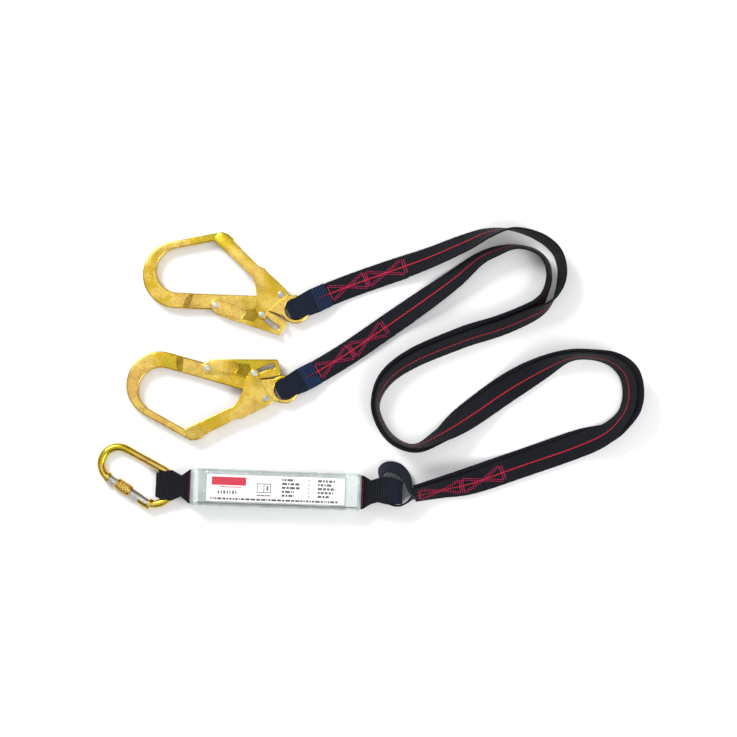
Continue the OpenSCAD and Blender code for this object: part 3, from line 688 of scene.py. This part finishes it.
def material(name):
    """The finish of that name, made when it is first asked for."""
    if name in MATERIALS:
        return MATERIALS[name]
    makers = {
        "leg_webbing": lambda: make_webbing("leg_webbing", colour("webbing"), colour("webbing_tint"),
                                            bpy.context.scene.lanyard_sizes.rib_pitch),
        "absorber_webbing": lambda: make_webbing("absorber_webbing", colour("webbing"),
                                                 colour("webbing_tint"), 2.9 * MM, 2.2 * MM, 1.8 * MM),
        "navy_sleeve": lambda: make_webbing("navy_sleeve", colour("navy"), colour("navy_light"),
                                            1.1 * MM, 0.9 * MM, 0.8 * MM),
        "navy_gathers": lambda: make_webbing("navy_gathers", colour("navy"), colour("navy_bright"),
                                             bpy.context.scene.lanyard_sizes.gather_pitch),
        "tracer": lambda: make_thread("red_tracer", colour("tracer"), colour("tracer_light"),
                                      bpy.context.scene.lanyard_sizes.rib_pitch),
        "red_thread": lambda: make_thread("red_thread", colour("thread"), colour("thread_light")),
        "gold": make_gold,
        # Painted shade: plating darkened for the plates on the hooks' steps.
        "gold_shadow": lambda: make_gold("tarnished_zinc_plating", 0.55),
        "steel": lambda: make_steel("bright_steel", colour("steel"), colour("steel_light"), 0.24),
        "spring": lambda: make_steel("spring_steel", (0.24, 0.24, 0.25), (0.4, 0.4, 0.4), 0.3),
        "film": make_film,
        "label": lambda: make_plain("label_paper", colour("label"), colour("label_tint"), 0.35, 0.5),
        "ink": lambda: make_plain("label_ink", (0.045, 0.045, 0.05), (0.10, 0.10, 0.11), 0.4, 0.5),
        "seam": lambda: make_plain("film_seam", (0.10, 0.11, 0.10), (0.20, 0.21, 0.20), 0.35, 0.4),
        "ink_red": lambda: make_plain("label_red_ink", (0.52, 0.01, 0.04), (0.60, 0.02, 0.05), 0.4, 0.5),
        "floor": lambda: make_plain("pale_floor", (0.93, 0.93, 0.93), (0.95, 0.95, 0.95), 0.6, 0.0, 60),
    }
    MATERIALS[name] = makers[name]()
    return MATERIALS[name]


# ---- What a user would change ----

def colour_property(name, description, value):
    return FloatVectorProperty(name=name, description=description, subtype="COLOR", size=3,
                               default=value, min=0, max=1)


def length_property(name, description, value):
    return FloatProperty(name=name, description=description, default=value, unit="LENGTH", min=0)


class LanyardSizes(bpy.types.PropertyGroup):
    """Sizes of the details that the looks add."""

    rib_pitch: length_property("Rib pitch", "Distance between two cross ribs of the webbing", 3.0 * MM)
    rib_height: length_property("Rib height", "Height of the webbing's cross ribs", 0.42 * MM)
    gather_pitch: length_property("Gather pitch", "Distance between two gathers of a wear sleeve", 3.4 * MM)
    thread: length_property("Thread", "Radius of the sewing thread", 0.4 * MM)
    stitch: length_property("Stitch", "Length of a stitch and the space after it", 3.5 * MM)
    edge: length_property("Edge rounding", "Rounding of the hooks' edges", 0.9 * MM)
    dimples: IntProperty(name="Dimples", description="Dimples round the screw sleeve", default=16, min=6)


class LanyardColours(bpy.types.PropertyGroup):
    """Colours of the finishes."""

    webbing: colour_property("Webbing", "Leg and absorber webbing", (0.0022, 0.0022, 0.0028))
    # Painted highlight: make_webbing lays this tint on the tops of the webbing's ribs, mixed with random
    # wear.
    webbing_tint: colour_property("Webbing tint", "Worn high spots of the webbing", (0.013, 0.015, 0.024))
    navy: colour_property("Wear sleeve", "Wear sleeves", (0.005, 0.007, 0.014))
    # Painted highlights: make_webbing lays these on the tops of the sleeves' ribs and on the ridges of the
    # gathers, mixed with random wear.
    navy_light: colour_property("Wear sleeve tint", "High spots of the wear sleeves", (0.010, 0.016, 0.036))
    navy_bright: colour_property("Gathers", "Ridges of the gathered sleeves", (0.012, 0.042, 0.125))
    tracer: colour_property("Tracer", "Line down the legs", (0.44, 0.004, 0.016))
    tracer_light: colour_property("Tracer tint", "Light fibres of the line", (0.74, 0.012, 0.04))
    thread: colour_property("Thread", "Stitching", (0.36, 0.006, 0.05))
    thread_light: colour_property("Thread tint", "Light fibres of the stitching", (0.72, 0.03, 0.16))
    gold: colour_property("Zinc", "Yellow zinc plating", (0.78, 0.50, 0.045))
    gold_pale: colour_property("Pale zinc", "Pale yellow of the plating", (0.95, 0.70, 0.16))
    gold_green: colour_property("Green zinc", "Greenish film on the plating", (0.58, 0.49, 0.035))
    gold_rose: colour_property("Rose zinc", "Pinkish film on the plating", (0.86, 0.55, 0.14))
    gold_dark: colour_property("Dark zinc", "Dark grain of the plating", (0.20, 0.12, 0.008))
    steel: colour_property("Steel", "Bright steel", (0.40, 0.40, 0.36))
    steel_light: colour_property("Pale steel", "Light patches of the steel", (0.66, 0.66, 0.60))
    film: colour_property("Film", "Cover film", (0.43, 0.48, 0.47))
    film_light: colour_property("Film highlights", "Creases of the film", (0.78, 0.84, 0.82))
    film_dark: colour_property("Film shade", "Dark patches of the film", (0.27, 0.32, 0.31))
    label: colour_property("Label", "Label paper", (0.90, 0.87, 0.88))
    label_tint: colour_property("Label tint", "Shade of the label paper", (0.84, 0.80, 0.82))


# ---- Legs ----

def bow_tie(maker, stations, first, last, lift, cells=2):
    """Adds the sewn pattern of an end: a bar across each end of a cell, and two crossing double rows."""
    sizes = bpy.context.scene.lanyard_sizes
    reach = 0.32
    edge = stations[0].half * 2 * reach

    def spot(s, u):
        st = min(stations, key=lambda station: abs(station.s - s))
        return st.at(u, lift) + (s - st.s) * st.wide.cross(st.face).normalized() * -1, st.face

    cell = (last - first) / cells
    for c in range(cells + 1):
        s = first + c * cell
        for row in ((-1, 0, 1) if 0 < c < cells else (-0.6, 0.6)):
            line = [spot(s + row * 2.4 * MM, u) for u in (-edge, -edge / 2, 0, edge / 2, edge)]
            seam(maker, line, sizes.stitch * 0.62, sizes.thread * 1.25, 0.9)
    for c in range(cells):
        a, b = first + c * cell + 3 * MM, first + (c + 1) * cell - 3 * MM
        for sign in (-1, 1):
            for shift in (-1.3 * MM, 1.3 * MM):
                line = [spot(a + (b - a) * k / 10, sign * edge * (1 - k / 5) + shift) for k in range(11)]
                seam(maker, line, sizes.stitch, sizes.thread)


class LANYARD_OT_legs(bpy.types.Operator):
    """Weave both legs with their tails, their sewn ends and the loop that joins them."""

    bl_idname = "lanyard.legs"
    bl_label = "Webbing legs"

    def execute(self, context):
        sizes = context.scene.lanyard_sizes
        step = sizes.rib_pitch / 5
        relief = ribs(sizes.rib_pitch, sizes.rib_height)
        for leg in (0, 1):
            n = leg + 1
            rows = leg_rows(leg)
            stations = strap_stations(rows, step, LEG_W / 2)
            length = stations[-1].s
            webbing = strap(Maker(), stations, LEG_T, relief=relief, tracer=0.042).make(
                f"leg_{n}_strap", material("leg_webbing"), material("tracer"))
            put(webbing, f"leg_{n}_webbing")
            tail_length = self.tail_length(rows)
            tail_stations = [st for st in stations if st.s > length - tail_length]
            tail = strap(Maker(), tail_stations, LEG_T, raised=-PLY - 0.25 * MM, relief=relief).make(
                f"leg_{n}_sewn_tail", material("leg_webbing"))
            put(tail, f"leg_{n}_tail")
            stitches = Maker()
            lift = LEG_T / 2 + sizes.rib_height * 0.4
            bow_tie(stitches, stations, length - SEWN_L, length - 2 * MM, lift)
            if leg == 0:
                bow_tie(stitches, stations, 6 * MM, 118 * MM, lift)
            piece = put(stitches.make(f"leg_{n}_threads", material("red_thread")), f"leg_{n}_stitching")
        joint = strap_stations([(x, y, LINK_Z, s) for x, y, s in smooth(JOINT_ROUTE, 8)], step, JOINT_W / 2)
        loop = strap(Maker(), joint, LEG_T * 0.9, relief=ribs(sizes.rib_pitch, sizes.rib_height * 0.7))
        put(loop.make("legs_joint", material("navy_sleeve")), "legs_joint_loop")
        return {"FINISHED"}

    @staticmethod
    def tail_length(rows):
        """Length of the sewn tail: the last stretch between two and a half rows of the route."""
        tail = [Vector(r[:3]) for r in rows[-1 - int(2.5 * LEG_STEPS):]]
        return sum((b - a).length for a, b in zip(tail, tail[1:]))


class LANYARD_OT_hook_loops(bpy.types.Operator):
    """Lay the webbing loop through each hook's eye, with its gathered wear sleeve."""

    bl_idname = "lanyard.hook_loops"
    bl_label = "Loops at the hooks"

    def execute(self, context):
        sizes = context.scene.lanyard_sizes
        half = steps_of((-LOOP_BACK - 2 * MM, 0.53 * LEG_W / 2), (-LOOP_BACK + 4 * MM, 0.72 * LEG_W / 2),
                        (0, 0.83 * LEG_W / 2), (12 * MM, 0.9 * LEG_W / 2), (LOOP_OPEN + 6 * MM, LEG_W / 2))
        for index, hook in enumerate(HOOKS):
            n = index + 1
            eye = on_hook(hook, EYE_C)
            along = turned(hook[3], (1, 0))
            sides = (lambda x: -half(x), half)
            inner = self.side_path(LOOP_R - LEG_T / 2, LEG_T / 2, LOOP_L - 0.5 * MM)
            stations = plane_stations(inner, 0.6 * MM, eye, along, *sides)
            relief = ribs(sizes.rib_pitch, sizes.rib_height * 0.6)
            loop = strap(Maker(), stations, LEG_T * 0.96, relief=relief)
            near = (eye.x + 0.040 * along.x, eye.y + 0.040 * along.y, HOOK_Z)
            far = (eye.x - 0.004 * along.x, eye.y - 0.004 * along.y, HOOK_Z)
            bends = (f"hook_{n}", near, far)
            put(loop.make(f"leg_{n}_loop", material("leg_webbing")), f"leg_{n}_hook_loop", bends)
            outer = self.side_path(LOOP_R + SLEEVE_WALL / 2, LEG_T + SLEEVE_WALL / 2, LOOP_L - 0.3 * MM)
            outer.insert(0, (LOOP_L + 2.2 * MM, outer[0][1]))
            stations = plane_stations(outer, 0.5 * MM, eye, along, *sides)
            total = stations[-1].s
            bare = 19 * MM

            def gathers(s):
                from_end = min(s, total - s)
                fade = min(1.0, max(0.0, (bare - from_end) / (4 * MM)))
                fold = abs(math.sin(math.pi * from_end / sizes.gather_pitch)) ** 0.7 - 0.35
                return fade * 1.0 * MM * fold

            for st in stations:
                st.half *= 1.03
            sleeve = strap(Maker(), stations, SLEEVE_WALL, raised=0.1 * MM, relief=gathers, waves=0.35 * MM,
                           seed=n * 7.0, slot=lambda s: 1 if min(s, total - s) < bare else 0)
            line = [(st.at(0, -1.2 * MM), -st.face) for st in stations if st.s < 16 * MM]
            seam(sleeve, line, 3 * MM, 0.6 * MM, 1.0, 2)
            put(sleeve.make(f"leg_{n}_gathered_sleeve", material("navy_sleeve"), material("navy_gathers"),
                            material("tracer")), f"leg_{n}_wear_sleeve", bends)
        return {"FINISHED"}

    @staticmethod
    def side_path(r, half_ply, end):
        xc = -LOOP_BACK + LOOP_R
        slope = (LOOP_END_Z - HOOK_Z)
        t = (end - LOOP_OPEN) / (LOOP_L - LOOP_OPEN)
        top = (end, HOOK_Z + r + (slope + half_ply - r) * t)
        low = (end, HOOK_Z - r + (slope - half_ply + r) * t)
        bight = arc(xc, HOOK_Z, r, 90, 270, 20)
        return [top, (LOOP_OPEN, HOOK_Z + r)] + bight + [(LOOP_OPEN, HOOK_Z - r), low]


# ---- Absorber pack ----

def on_pack(p):
    """A point of the pack's own frame, in the row frame."""
    c, s = math.cos(PACK_TURN), math.sin(PACK_TURN)
    return Vector((c * p[0] - s * p[1], s * p[0] + c * p[1], p[2]))


class LANYARD_OT_eyes(bpy.types.Operator):
    """Lay the two eyes of absorber webbing that leave the pack, and the link's wear sleeve."""

    bl_idname = "lanyard.eyes"
    bl_label = "Eyes of the absorber webbing"

    def execute(self, context):
        e = PACK_END
        relief = ribs(2.9 * MM, 0.4 * MM)
        low = steps_of((e + 2 * MM, -0.0214), (e + 0.013, -0.0132), (e + 0.026, -0.0195),
                       (e + 0.048, -0.0145))
        high = steps_of((e + 2 * MM, 0.0214), (e + 0.013, 0.0132), (e + 0.026, 0.020), (e + 0.048, 0.0155))
        back = Vector((-math.cos(PACK_TURN), -math.sin(PACK_TURN)))
        path = self.eye_path(e + 0.015, e + 0.038, KB_Z, KB_BIGHT_R)
        stations = plane_stations(path, 0.6 * MM, Vector((0, 0)), back, lambda x: -high(x), lambda x: -low(x))
        eye = strap(Maker(), stations, TEAR_T, relief=relief, waves=0.5 * MM, seed=2.0)
        put(eye.make("karabiner_eye_strap", material("absorber_webbing")), "karabiner_eye",
            ("karabiner", on_pack((-e - 0.008, 0, KB_Z)), on_pack((-e - 0.042, 0, KB_Z))))
        low = steps_of((e + 2 * MM, -0.0214), (e + 0.011, -0.015), (e + 0.021, -0.0115), (e + 0.032, -0.0135),
                       (e + 0.055, -0.0125))
        high = steps_of((e + 2 * MM, 0.0214), (e + 0.012, 0.0158), (e + 0.024, 0.020), (e + 0.038, 0.0205),
                        (e + 0.055, 0.015))
        ahead = -back
        path = self.eye_path(e + 0.021, LINK_X, LINK_Z, LINK_R)
        stations = plane_stations(path, 0.6 * MM, Vector((0, 0)), ahead, low, high)
        link = strap(Maker(), stations, TEAR_T, relief=relief, waves=0.6 * MM, seed=5.0)
        put(link.make("link_strap", material("absorber_webbing")), "legs_link_eye")
        outer = LINK_R + SLEEVE_WALL / 2
        path = [(LINK_X - 0.012, LINK_Z + outer)] + arc(LINK_X, LINK_Z, outer, 90, -90, 24)
        path += [(LINK_X - 0.012, LINK_Z - outer)]
        stations = plane_stations(path, 0.6 * MM, Vector((0, 0)), ahead, low, high)
        for st in stations:
            st.half *= 1.02
        sleeve = strap(Maker(), stations, SLEEVE_WALL, relief=ribs(6 * MM, 0.25 * MM), waves=0.5 * MM,
                       seed=9.0)
        put(sleeve.make("link_sleeve", material("navy_sleeve")), "link_wear_sleeve")
        return {"FINISHED"}

    @staticmethod
    def eye_path(x_open, xc, zc, r):
        """Side view of an eye: out on the upper ply, round the bight and back on the lower one."""
        middle = r - TEAR_T / 2
        start = PACK_END - 0.004
        top = smooth([(start, TAIL_Z + TEAR_T / 2), (PACK_END + 0.002, TAIL_Z + TEAR_T / 2),
                      (x_open, zc + middle), (xc, zc + middle)], 8)
        low = smooth([(xc, zc - middle), (x_open, zc - middle), (PACK_END + 0.002, TAIL_Z - TEAR_T / 2),
                      (start, TAIL_Z - TEAR_T / 2)], 8)
        return top[:-1] + arc(xc, zc, middle, 90, -90, 20) + low[1:]


class LANYARD_OT_pack(bpy.types.Operator):
    """Wrap the absorber pack in crinkled film, with its seam, its label and the folded webbing inside."""

    bl_idname = "lanyard.pack"
    bl_label = "Absorber pack"

    def execute(self, context):
        put(self.film(), "absorber_cover")
        put(self.label(), "absorber_label")
        put(self.inside(), "absorber_tear_webbing")
        stitches = Maker()
        sizes = context.scene.lanyard_sizes
        for side in (-1, 1):
            for row in range(3):
                x = side * (PACK_END + 1.5 * MM - 2.5 * MM * row)
                z = TAIL_Z + TEAR_T + 0.4 * MM
                line = [(on_pack((x, y / 4 * 0.018, z)), UP) for y in range(-4, 5)]
                seam(stitches, line, sizes.stitch, sizes.thread)
        put(stitches.make("pack_threads", material("red_thread")), "absorber_stitching")
        return {"FINISHED"}

    @staticmethod
    def ring(inset, count=30):
        """Half of a cross-section's outline, from the middle of its base round to the middle of its top."""
        w, h, r = PACK.y / 2 - inset, PACK.z / 2 - inset, max(PACK_R - inset, 0.8 * MM)
        flat = [(w - r) * i / count for i in range(count)]
        turn = [math.pi / 2 * i / 8 for i in range(9)]
        side = [h - r - 2 * (h - r) * (i + 1) / 10 for i in range(9)]
        out = [(y, -h) for y in flat]
        out += [(w - r + r * math.sin(a), -h + r - r * math.cos(a)) for a in turn]
        out += [(w, -s) for s in side]
        out += [(w - r + r * math.cos(a), h - r + r * math.sin(a)) for a in turn]
        out += [(y, h) for y in reversed(flat)]
        return out

    def film(self):
        maker = Maker()
        rings = []
        columns = 300
        for i in range(columns + 1):
            x = PACK.x * (i / columns - 0.5)
            gone = max(0.0, PACK_R - (PACK_END - abs(x)))
            inset = PACK_R - math.sqrt(max(PACK_R ** 2 - gone ** 2, 0)) if gone else 0.0
            half = self.ring(min(inset, PACK_R * 0.9))
            outline = half + [(-y, z) for y, z in reversed(half[1:-1])]
            ring = []
            for y, z in outline:
                p = Vector((x, y, z))
                out = Vector((0, y / PACK.y, z / PACK.z)).normalized()
                on_top = z > PACK.z / 2 - 1 * MM
                under_label = on_top and abs(x) < LABEL_HALF[0] + 1 * MM and abs(y) < LABEL_HALF[1] + 0.8 * MM
                at_end = min(1.0, max(0.0, (abs(x) - 0.088) / 0.02))
                fine = noise.fractal(p * 90 + Vector((3, 1, 7)), 0.8, 2.2, 4)
                fold = noise.noise(Vector((x * 70, y * 26, z * 26 + 5)))
                shift = 2.5 * noise.noise(Vector((y * 60, z * 60, 1)))
                pleat = math.sin(x * 2 * math.pi / (7.5 * MM) + shift)
                h = 0.55 * MM * fine + (0.5 + 0.9 * at_end) * MM * fold * 0.8 + at_end * 0.35 * MM * pleat
                if any(start < x < end for start, end in SEALS):
                    h += 0.5 * MM
                if z < -PACK.z / 2 + 0.5 * MM or under_label:
                    h = -abs(h) * 0.25 - 0.05 * MM
                h = max(min(h, 1.6 * MM), -1.4 * MM)
                q = p + out * h
                ring.append(maker.point(on_pack((q.x, q.y, max(q.z + PACK.z / 2, 0.05 * MM))), x, y))
            rings.append(ring)
        maker.tube(rings)
        rings = []
        for i in range(121):
            p = Vector((-0.105 + 0.210 * i / 120, -0.0195, PACK.z + 0.15 * MM))
            wiggle = 0.5 * MM * noise.noise(Vector((p.x * 30, 2, 3)))
            turns = [2 * math.pi * k / 6 for k in range(6)]
            rings.append([maker.point(on_pack((p.x, p.y + wiggle + 0.75 * MM * math.cos(a),
                                               p.z - 0.2 * MM + 0.55 * MM * math.sin(a))), p.x, p.y)
                          for a in turns])
        maker.tube(rings, lambda k, i: 1)
        return maker.make("film_cover", material("film"), material("seam"))

    @staticmethod
    def label():
        """The label's paper, with plain bars and lines where such labels are printed."""
        maker = Maker()
        top = PACK.z + 0.32 * MM

        def plate(x0, y0, x1, y1, slot):
            slab(maker, [(x0, y0), (x1, y0), (x1, y1), (x0, y1)], top, top + 0.06 * MM, on_pack, slot)
        x, y = LABEL_HALF
        slab(maker, [(-x, -y), (x, -y), (x, y), (-x, y)], PACK.z + 0.02 * MM, top, on_pack)
        plate(-0.082, 0.0035, -0.038, 0.0140, 2)
        plate(-0.072, 0.0008, -0.044, 0.0018, 2)
        draw = random.Random(4)

        def words(x, y, end, tall, longest):
            """A line of print, as bars of the length of words."""
            while x < end:
                word = 0.0012 + longest * draw.random()
                plate(x, y - tall / 2, min(x + word, end), y + tall / 2, 1)
                x += word + tall * 0.45

        words(-0.074, -0.0055, -0.050, 0.0042, 0.003)
        book = ((0, 0, 0.018, 0.0009), (0, 0.0111, 0.018, 0.012), (0, 0, 0.0009, 0.012),
                (0.0171, 0, 0.018, 0.012), (0.00855, 0, 0.00945, 0.012), (0.0125, 0.003, 0.0145, 0.009))
        for x0, y0, x1, y1 in book:
            plate(-0.024 + x0, -0.0050 + y0, -0.024 + x1, -0.0050 + y1, 1)
        words(-0.024, -0.0083, -0.006, 0.0016, 0.004)
        for row in range(5):
            y = 0.0125 - row * 0.0050
            words(0.008, y, 0.022 + 0.010 * draw.random(), 0.0029, 0.006)
            plate(0.0420, y - 0.0012, 0.0430, y + 0.0010, 1)
            words(0.054, y, 0.066 + 0.012 * draw.random(), 0.0029, 0.005)
        words(-0.083, -0.0138, 0.080, 0.0026, 0.005)
        return maker.make("pack_label", material("label"), material("ink"), material("ink_red"), shade=False)

    @staticmethod
    def inside():
        """The tear webbing: one strap folded to and fro in layers."""
        half = PACK_END - 0.015
        pitch = (PACK.z - 2 * COVER_GAP - TEAR_T) / (TEAR_LAYERS - 1)
        path = []
        for layer in range(TEAR_LAYERS):
            z = COVER_GAP + TEAR_T / 2 + pitch * layer
            ends = (-half + 3 * MM, half - 3 * MM)
            path += [(x, z) for x in (ends if layer % 2 == 0 else reversed(ends))]
            if layer < TEAR_LAYERS - 1:
                x = path[-1][0]
                path += [(x + (1 if x > 0 else -1) * 2 * MM, z + pitch / 2)]
        ahead = Vector((math.cos(PACK_TURN), math.sin(PACK_TURN)))
        stations = plane_stations(path, 1.5 * MM, Vector((0, 0)), ahead, lambda x: -0.0175, lambda x: 0.0175)
        return strap(Maker(), stations, TEAR_T * 0.9).make("folded_webbing", material("absorber_webbing"))


# ---- Hooks ----

class LANYARD_OT_hooks(bpy.types.Operator):
    """Round the edges of both hooks' forged and pressed pieces, and add their grip pads and steps."""

    bl_idname = "lanyard.hooks"
    bl_label = "Scaffold hooks"

    def execute(self, context):
        edge = context.scene.lanyard_sizes.edge
        for index, hook in enumerate(HOOKS):
            n = index + 1
            rounded(f"hook_{n}_body", f"hook_{n}_forging", edge * 1.9, material("gold"), 3)
            rounded(f"hook_{n}_gate", f"hook_{n}_gate_pressing", edge * 0.7, material("gold"))
            rounded(f"hook_{n}_lock_lever", f"hook_{n}_lever_pressing", edge * 0.6, material("gold"))
            for node in ("gate_rivet", "lock_pin", "lever_rivet"):
                rounded(f"hook_{n}_{node}", f"hook_{n}_{node}_head", 0.45 * MM, material("steel"), 3)
            for node in ("gate_spring", "lock_spring"):
                rounded(f"hook_{n}_{node}", f"hook_{n}_{node}_steel", 0.1 * MM, material("spring"), 1)
            self.pads(n, hook)
        return {"FINISHED"}

    @staticmethod
    def pads(n, hook):
        """The grip pads on the lever's cheeks, and the steps beside them and on the spine, whose darker
        plating is painted shade.
        """
        grip = [(-81.5, -13.5), (-60, -17.2), (-48, -20), (-46.5, -27), (-51, -34.5), (-67, -31.5),
                (-82, -28.5)]
        step = [(-46, -20.5), (-29, -19), (-27, -27), (-33, -37), (-49, -34), (-44.5, -27)]
        spine = [(-121, -4.2), (-114, -4.2), (-118, -21.5), (-127, -21.5), (-124.5, -12)]

        def place(p):
            q = on_hook(hook, p)
            return Vector((q.x, q.y, HOOK_Z + p.z))

        # The two steps take the darkened plating: painted shade on the steps' faces.
        for name, outline, surface, high, node, finish in (
                ("grip", grip, 5.8, 0.7, "lock_lever", "gold"),
                ("step", step, 5.8, 0.15, "lock_lever", "gold_shadow"),
                ("spine_step", spine, 5.0, 0.6, "body", "gold_shadow")):
            maker = Maker()
            points = [(x * MM, y * MM) for x, y in outline]
            for side in (-1, 1):
                z = (side * (surface - 0.4) * MM, side * (surface + high) * MM)
                slab(maker, points, min(z), max(z), place)
            piece = maker.make(f"hook_{n}_{name}", material(finish))
            finish_shape(piece, ("BEVEL", dict(width=min(0.65, high) * MM, segments=3, limit_method="ANGLE",
                                               angle_limit=math.radians(40))))
            smooth_by_angle(piece, 50)
            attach(piece, body_of(f"hook_{n}_{node}"))


# ---- Karabiner ----

class LANYARD_OT_karabiner(bpy.types.Operator):
    """Finish the karabiner: its bar, gate, pins and springs, and the dimpled screw sleeve."""

    bl_idname = "lanyard.karabiner"
    bl_label = "Karabiner"

    def execute(self, context):
        rounded("karabiner_body", "karabiner_bar", 0.5 * MM, material("gold"), 2, 40)
        rounded("karabiner_gate", "karabiner_gate_rod", 0.5 * MM, material("steel"), 2)
        for node in ("karabiner_hinge_pin", "karabiner_nose_pin", "karabiner_plunger"):
            rounded(node, node + "_steel", 0.2 * MM, material("steel"), 2)
        rounded("karabiner_gate_spring", "karabiner_spring_wire", 0.05 * MM, material("spring"), 1)
        rounded("screw_sleeve_thread", "screw_thread_ring", 0.1 * MM, material("gold"), 1)
        self.sleeve(context.scene.lanyard_sizes.dimples)
        return {"FINISHED"}

    @staticmethod
    def sleeve(count):
        """The screw sleeve: a turned ring with rows of dimples between two plain collars."""
        turn = next(j for j in frame["record"]["behaviour"]["joints"] if j["name"] == "screw_turn")
        origin, axis = Vector(turn["pos_m"]), -Vector(turn["axis"]).normalized()
        side = axis.cross(UP).normalized()
        r, bore, start, length = 7.75 * MM, 5.85 * MM, 20.5 * MM, 22 * MM
        collar, groove, first, pitch, bands = 2.4 * MM, 0.7 * MM, 3.4 * MM, 2.55 * MM, 6
        maker = Maker()
        rings = []
        around = count * 10
        rows = 110
        outline = [(0.0, bore), (0.0, r - 0.9 * MM), (0.4 * MM, r - 0.45 * MM)]
        for i in range(rows + 1):
            x = 0.9 * MM + (length - 1.8 * MM) * i / rows
            outline.append((x, r))
        outline += [(length - 0.4 * MM, r - 0.45 * MM), (length, r - 0.9 * MM), (length, bore)]
        for x, radius in outline:
            ring = []
            for k in range(around):
                a = 2 * math.pi * k / around
                h = 0.0
                if radius == r:
                    band = (x - first) / pitch
                    row = math.floor(band)
                    if 0 <= row < bands:
                        u = (a * count / (2 * math.pi) + 0.5 * (row % 2)) % 1 - 0.5
                        v = band - row - 0.5
                        d = math.hypot(u * 1.05, v * 0.95)
                        h = -0.55 * MM * max(0.0, 1 - (d / 0.34) ** 2) ** 0.6
                    if min(x, length - x) < collar:
                        h = 0.0
                    elif min(x, length - x) < collar + groove:
                        h = -0.35 * MM
                p = origin + axis * (start + x) + (radius + h) * (math.cos(a) * side + math.sin(a) * UP)
                ring.append(maker.point(p))
            rings.append(ring)
        rings.append(rings[0])
        maker.tube(rings, closed_ends=False)
        piece = maker.make("screw_sleeve_ring", material("gold"))
        smooth_by_angle(piece, 40)
        put(piece, "screw_sleeve")


# ---- Stage ----

class LANYARD_OT_stage(bpy.types.Operator):
    """Set a plain pale floor, soft studio light and the camera."""

    bl_idname = "lanyard.stage"
    bl_label = "Stage"

    def execute(self, context):
        scene = context.scene
        centre = Vector(VIEW_CENTRE)
        elevation = math.radians(VIEW_ELEVATION)
        camera = bpy.data.cameras.new("camera")
        camera.sensor_width = 36
        camera.lens = camera.sensor_width * VIEW_DISTANCE / VIEW_WIDTH
        eye = bpy.data.objects.new("camera", camera)
        eye.location = centre + VIEW_DISTANCE * Vector((0, -math.cos(elevation), math.sin(elevation)))
        eye.rotation_euler = (math.pi / 2 - elevation, 0, 0)
        scene.collection.objects.link(eye)
        scene.camera = eye
        floor = bpy.data.objects.new("floor", bpy.data.meshes.new("floor"))
        reach = 4.0
        corners = [(x * reach, y * reach, 0) for x, y in ((-1, -1), (1, -1), (1, 1), (-1, 1))]
        floor.data.from_pydata(corners, [], [(0, 1, 2, 3)])
        floor.data.materials.append(material("floor"))
        scene.collection.objects.link(floor)
        for name, place, size, power in LIGHTS:
            light = bpy.data.lights.new(name, "AREA")
            light.size = size
            light.energy = power
            lamp = bpy.data.objects.new(name, light)
            lamp.location = place
            lamp.rotation_euler = (centre - Vector(place)).to_track_quat("-Z", "Y").to_euler()
            scene.collection.objects.link(lamp)
        world = bpy.data.worlds.new("studio")
        world.use_nodes = True
        tree = world.node_tree
        direction = tree.nodes.new("ShaderNodeTexCoord")
        parts = tree.nodes.new("ShaderNodeSeparateXYZ")
        sky = tree.nodes.new("ShaderNodeValToRGB")
        while len(sky.color_ramp.elements) < len(SKY):
            sky.color_ramp.elements.new(0.5)
        for element, (place, grey) in zip(sky.color_ramp.elements, SKY):
            element.position = place
            element.color = (grey, grey, grey * 1.01, 1)
        tree.links.new(direction.outputs["Generated"], parts.inputs[0])
        tree.links.new(parts.outputs["Z"], sky.inputs["Fac"])
        tree.links.new(sky.outputs["Color"], tree.nodes["Background"].inputs["Color"])
        tree.nodes["Background"].inputs["Strength"].default_value = 1.0
        scene.world = world
        scene.view_settings.view_transform = "Standard"
        return {"FINISHED"}


OPERATORS = (LANYARD_OT_stage, LANYARD_OT_legs, LANYARD_OT_hook_loops, LANYARD_OT_eyes, LANYARD_OT_pack,
             LANYARD_OT_hooks, LANYARD_OT_karabiner)


class LANYARD_PT_panel(bpy.types.Panel):
    """Lists the pieces of the lanyard, and what can be changed."""

    bl_idname = "LANYARD_PT_panel"
    bl_label = "Lanyard"
    bl_space_type = "VIEW_3D"
    bl_region_type = "UI"
    bl_category = "Lanyard"

    def draw(self, context):
        for group in (context.scene.lanyard_sizes, context.scene.lanyard_colours):
            for key in group.__annotations__:
                self.layout.prop(group, key)
        for operator in OPERATORS:
            self.layout.operator(operator.bl_idname)


CLASSES = (LanyardSizes, LanyardColours) + OPERATORS + (LANYARD_PT_panel,)


def register():
    for cls in CLASSES:
        bpy.utils.register_class(cls)
    bpy.types.Scene.lanyard_sizes = PointerProperty(type=LanyardSizes)
    bpy.types.Scene.lanyard_colours = PointerProperty(type=LanyardColours)


def unregister():
    del bpy.types.Scene.lanyard_colours
    del bpy.types.Scene.lanyard_sizes
    for cls in reversed(CLASSES):
        bpy.utils.unregister_class(cls)


def main():
    register()
    for operator in OPERATORS:
        group, name = operator.bl_idname.split(".")
        getattr(getattr(bpy.ops, group), name)()


if __name__ == "__main__":
    main()
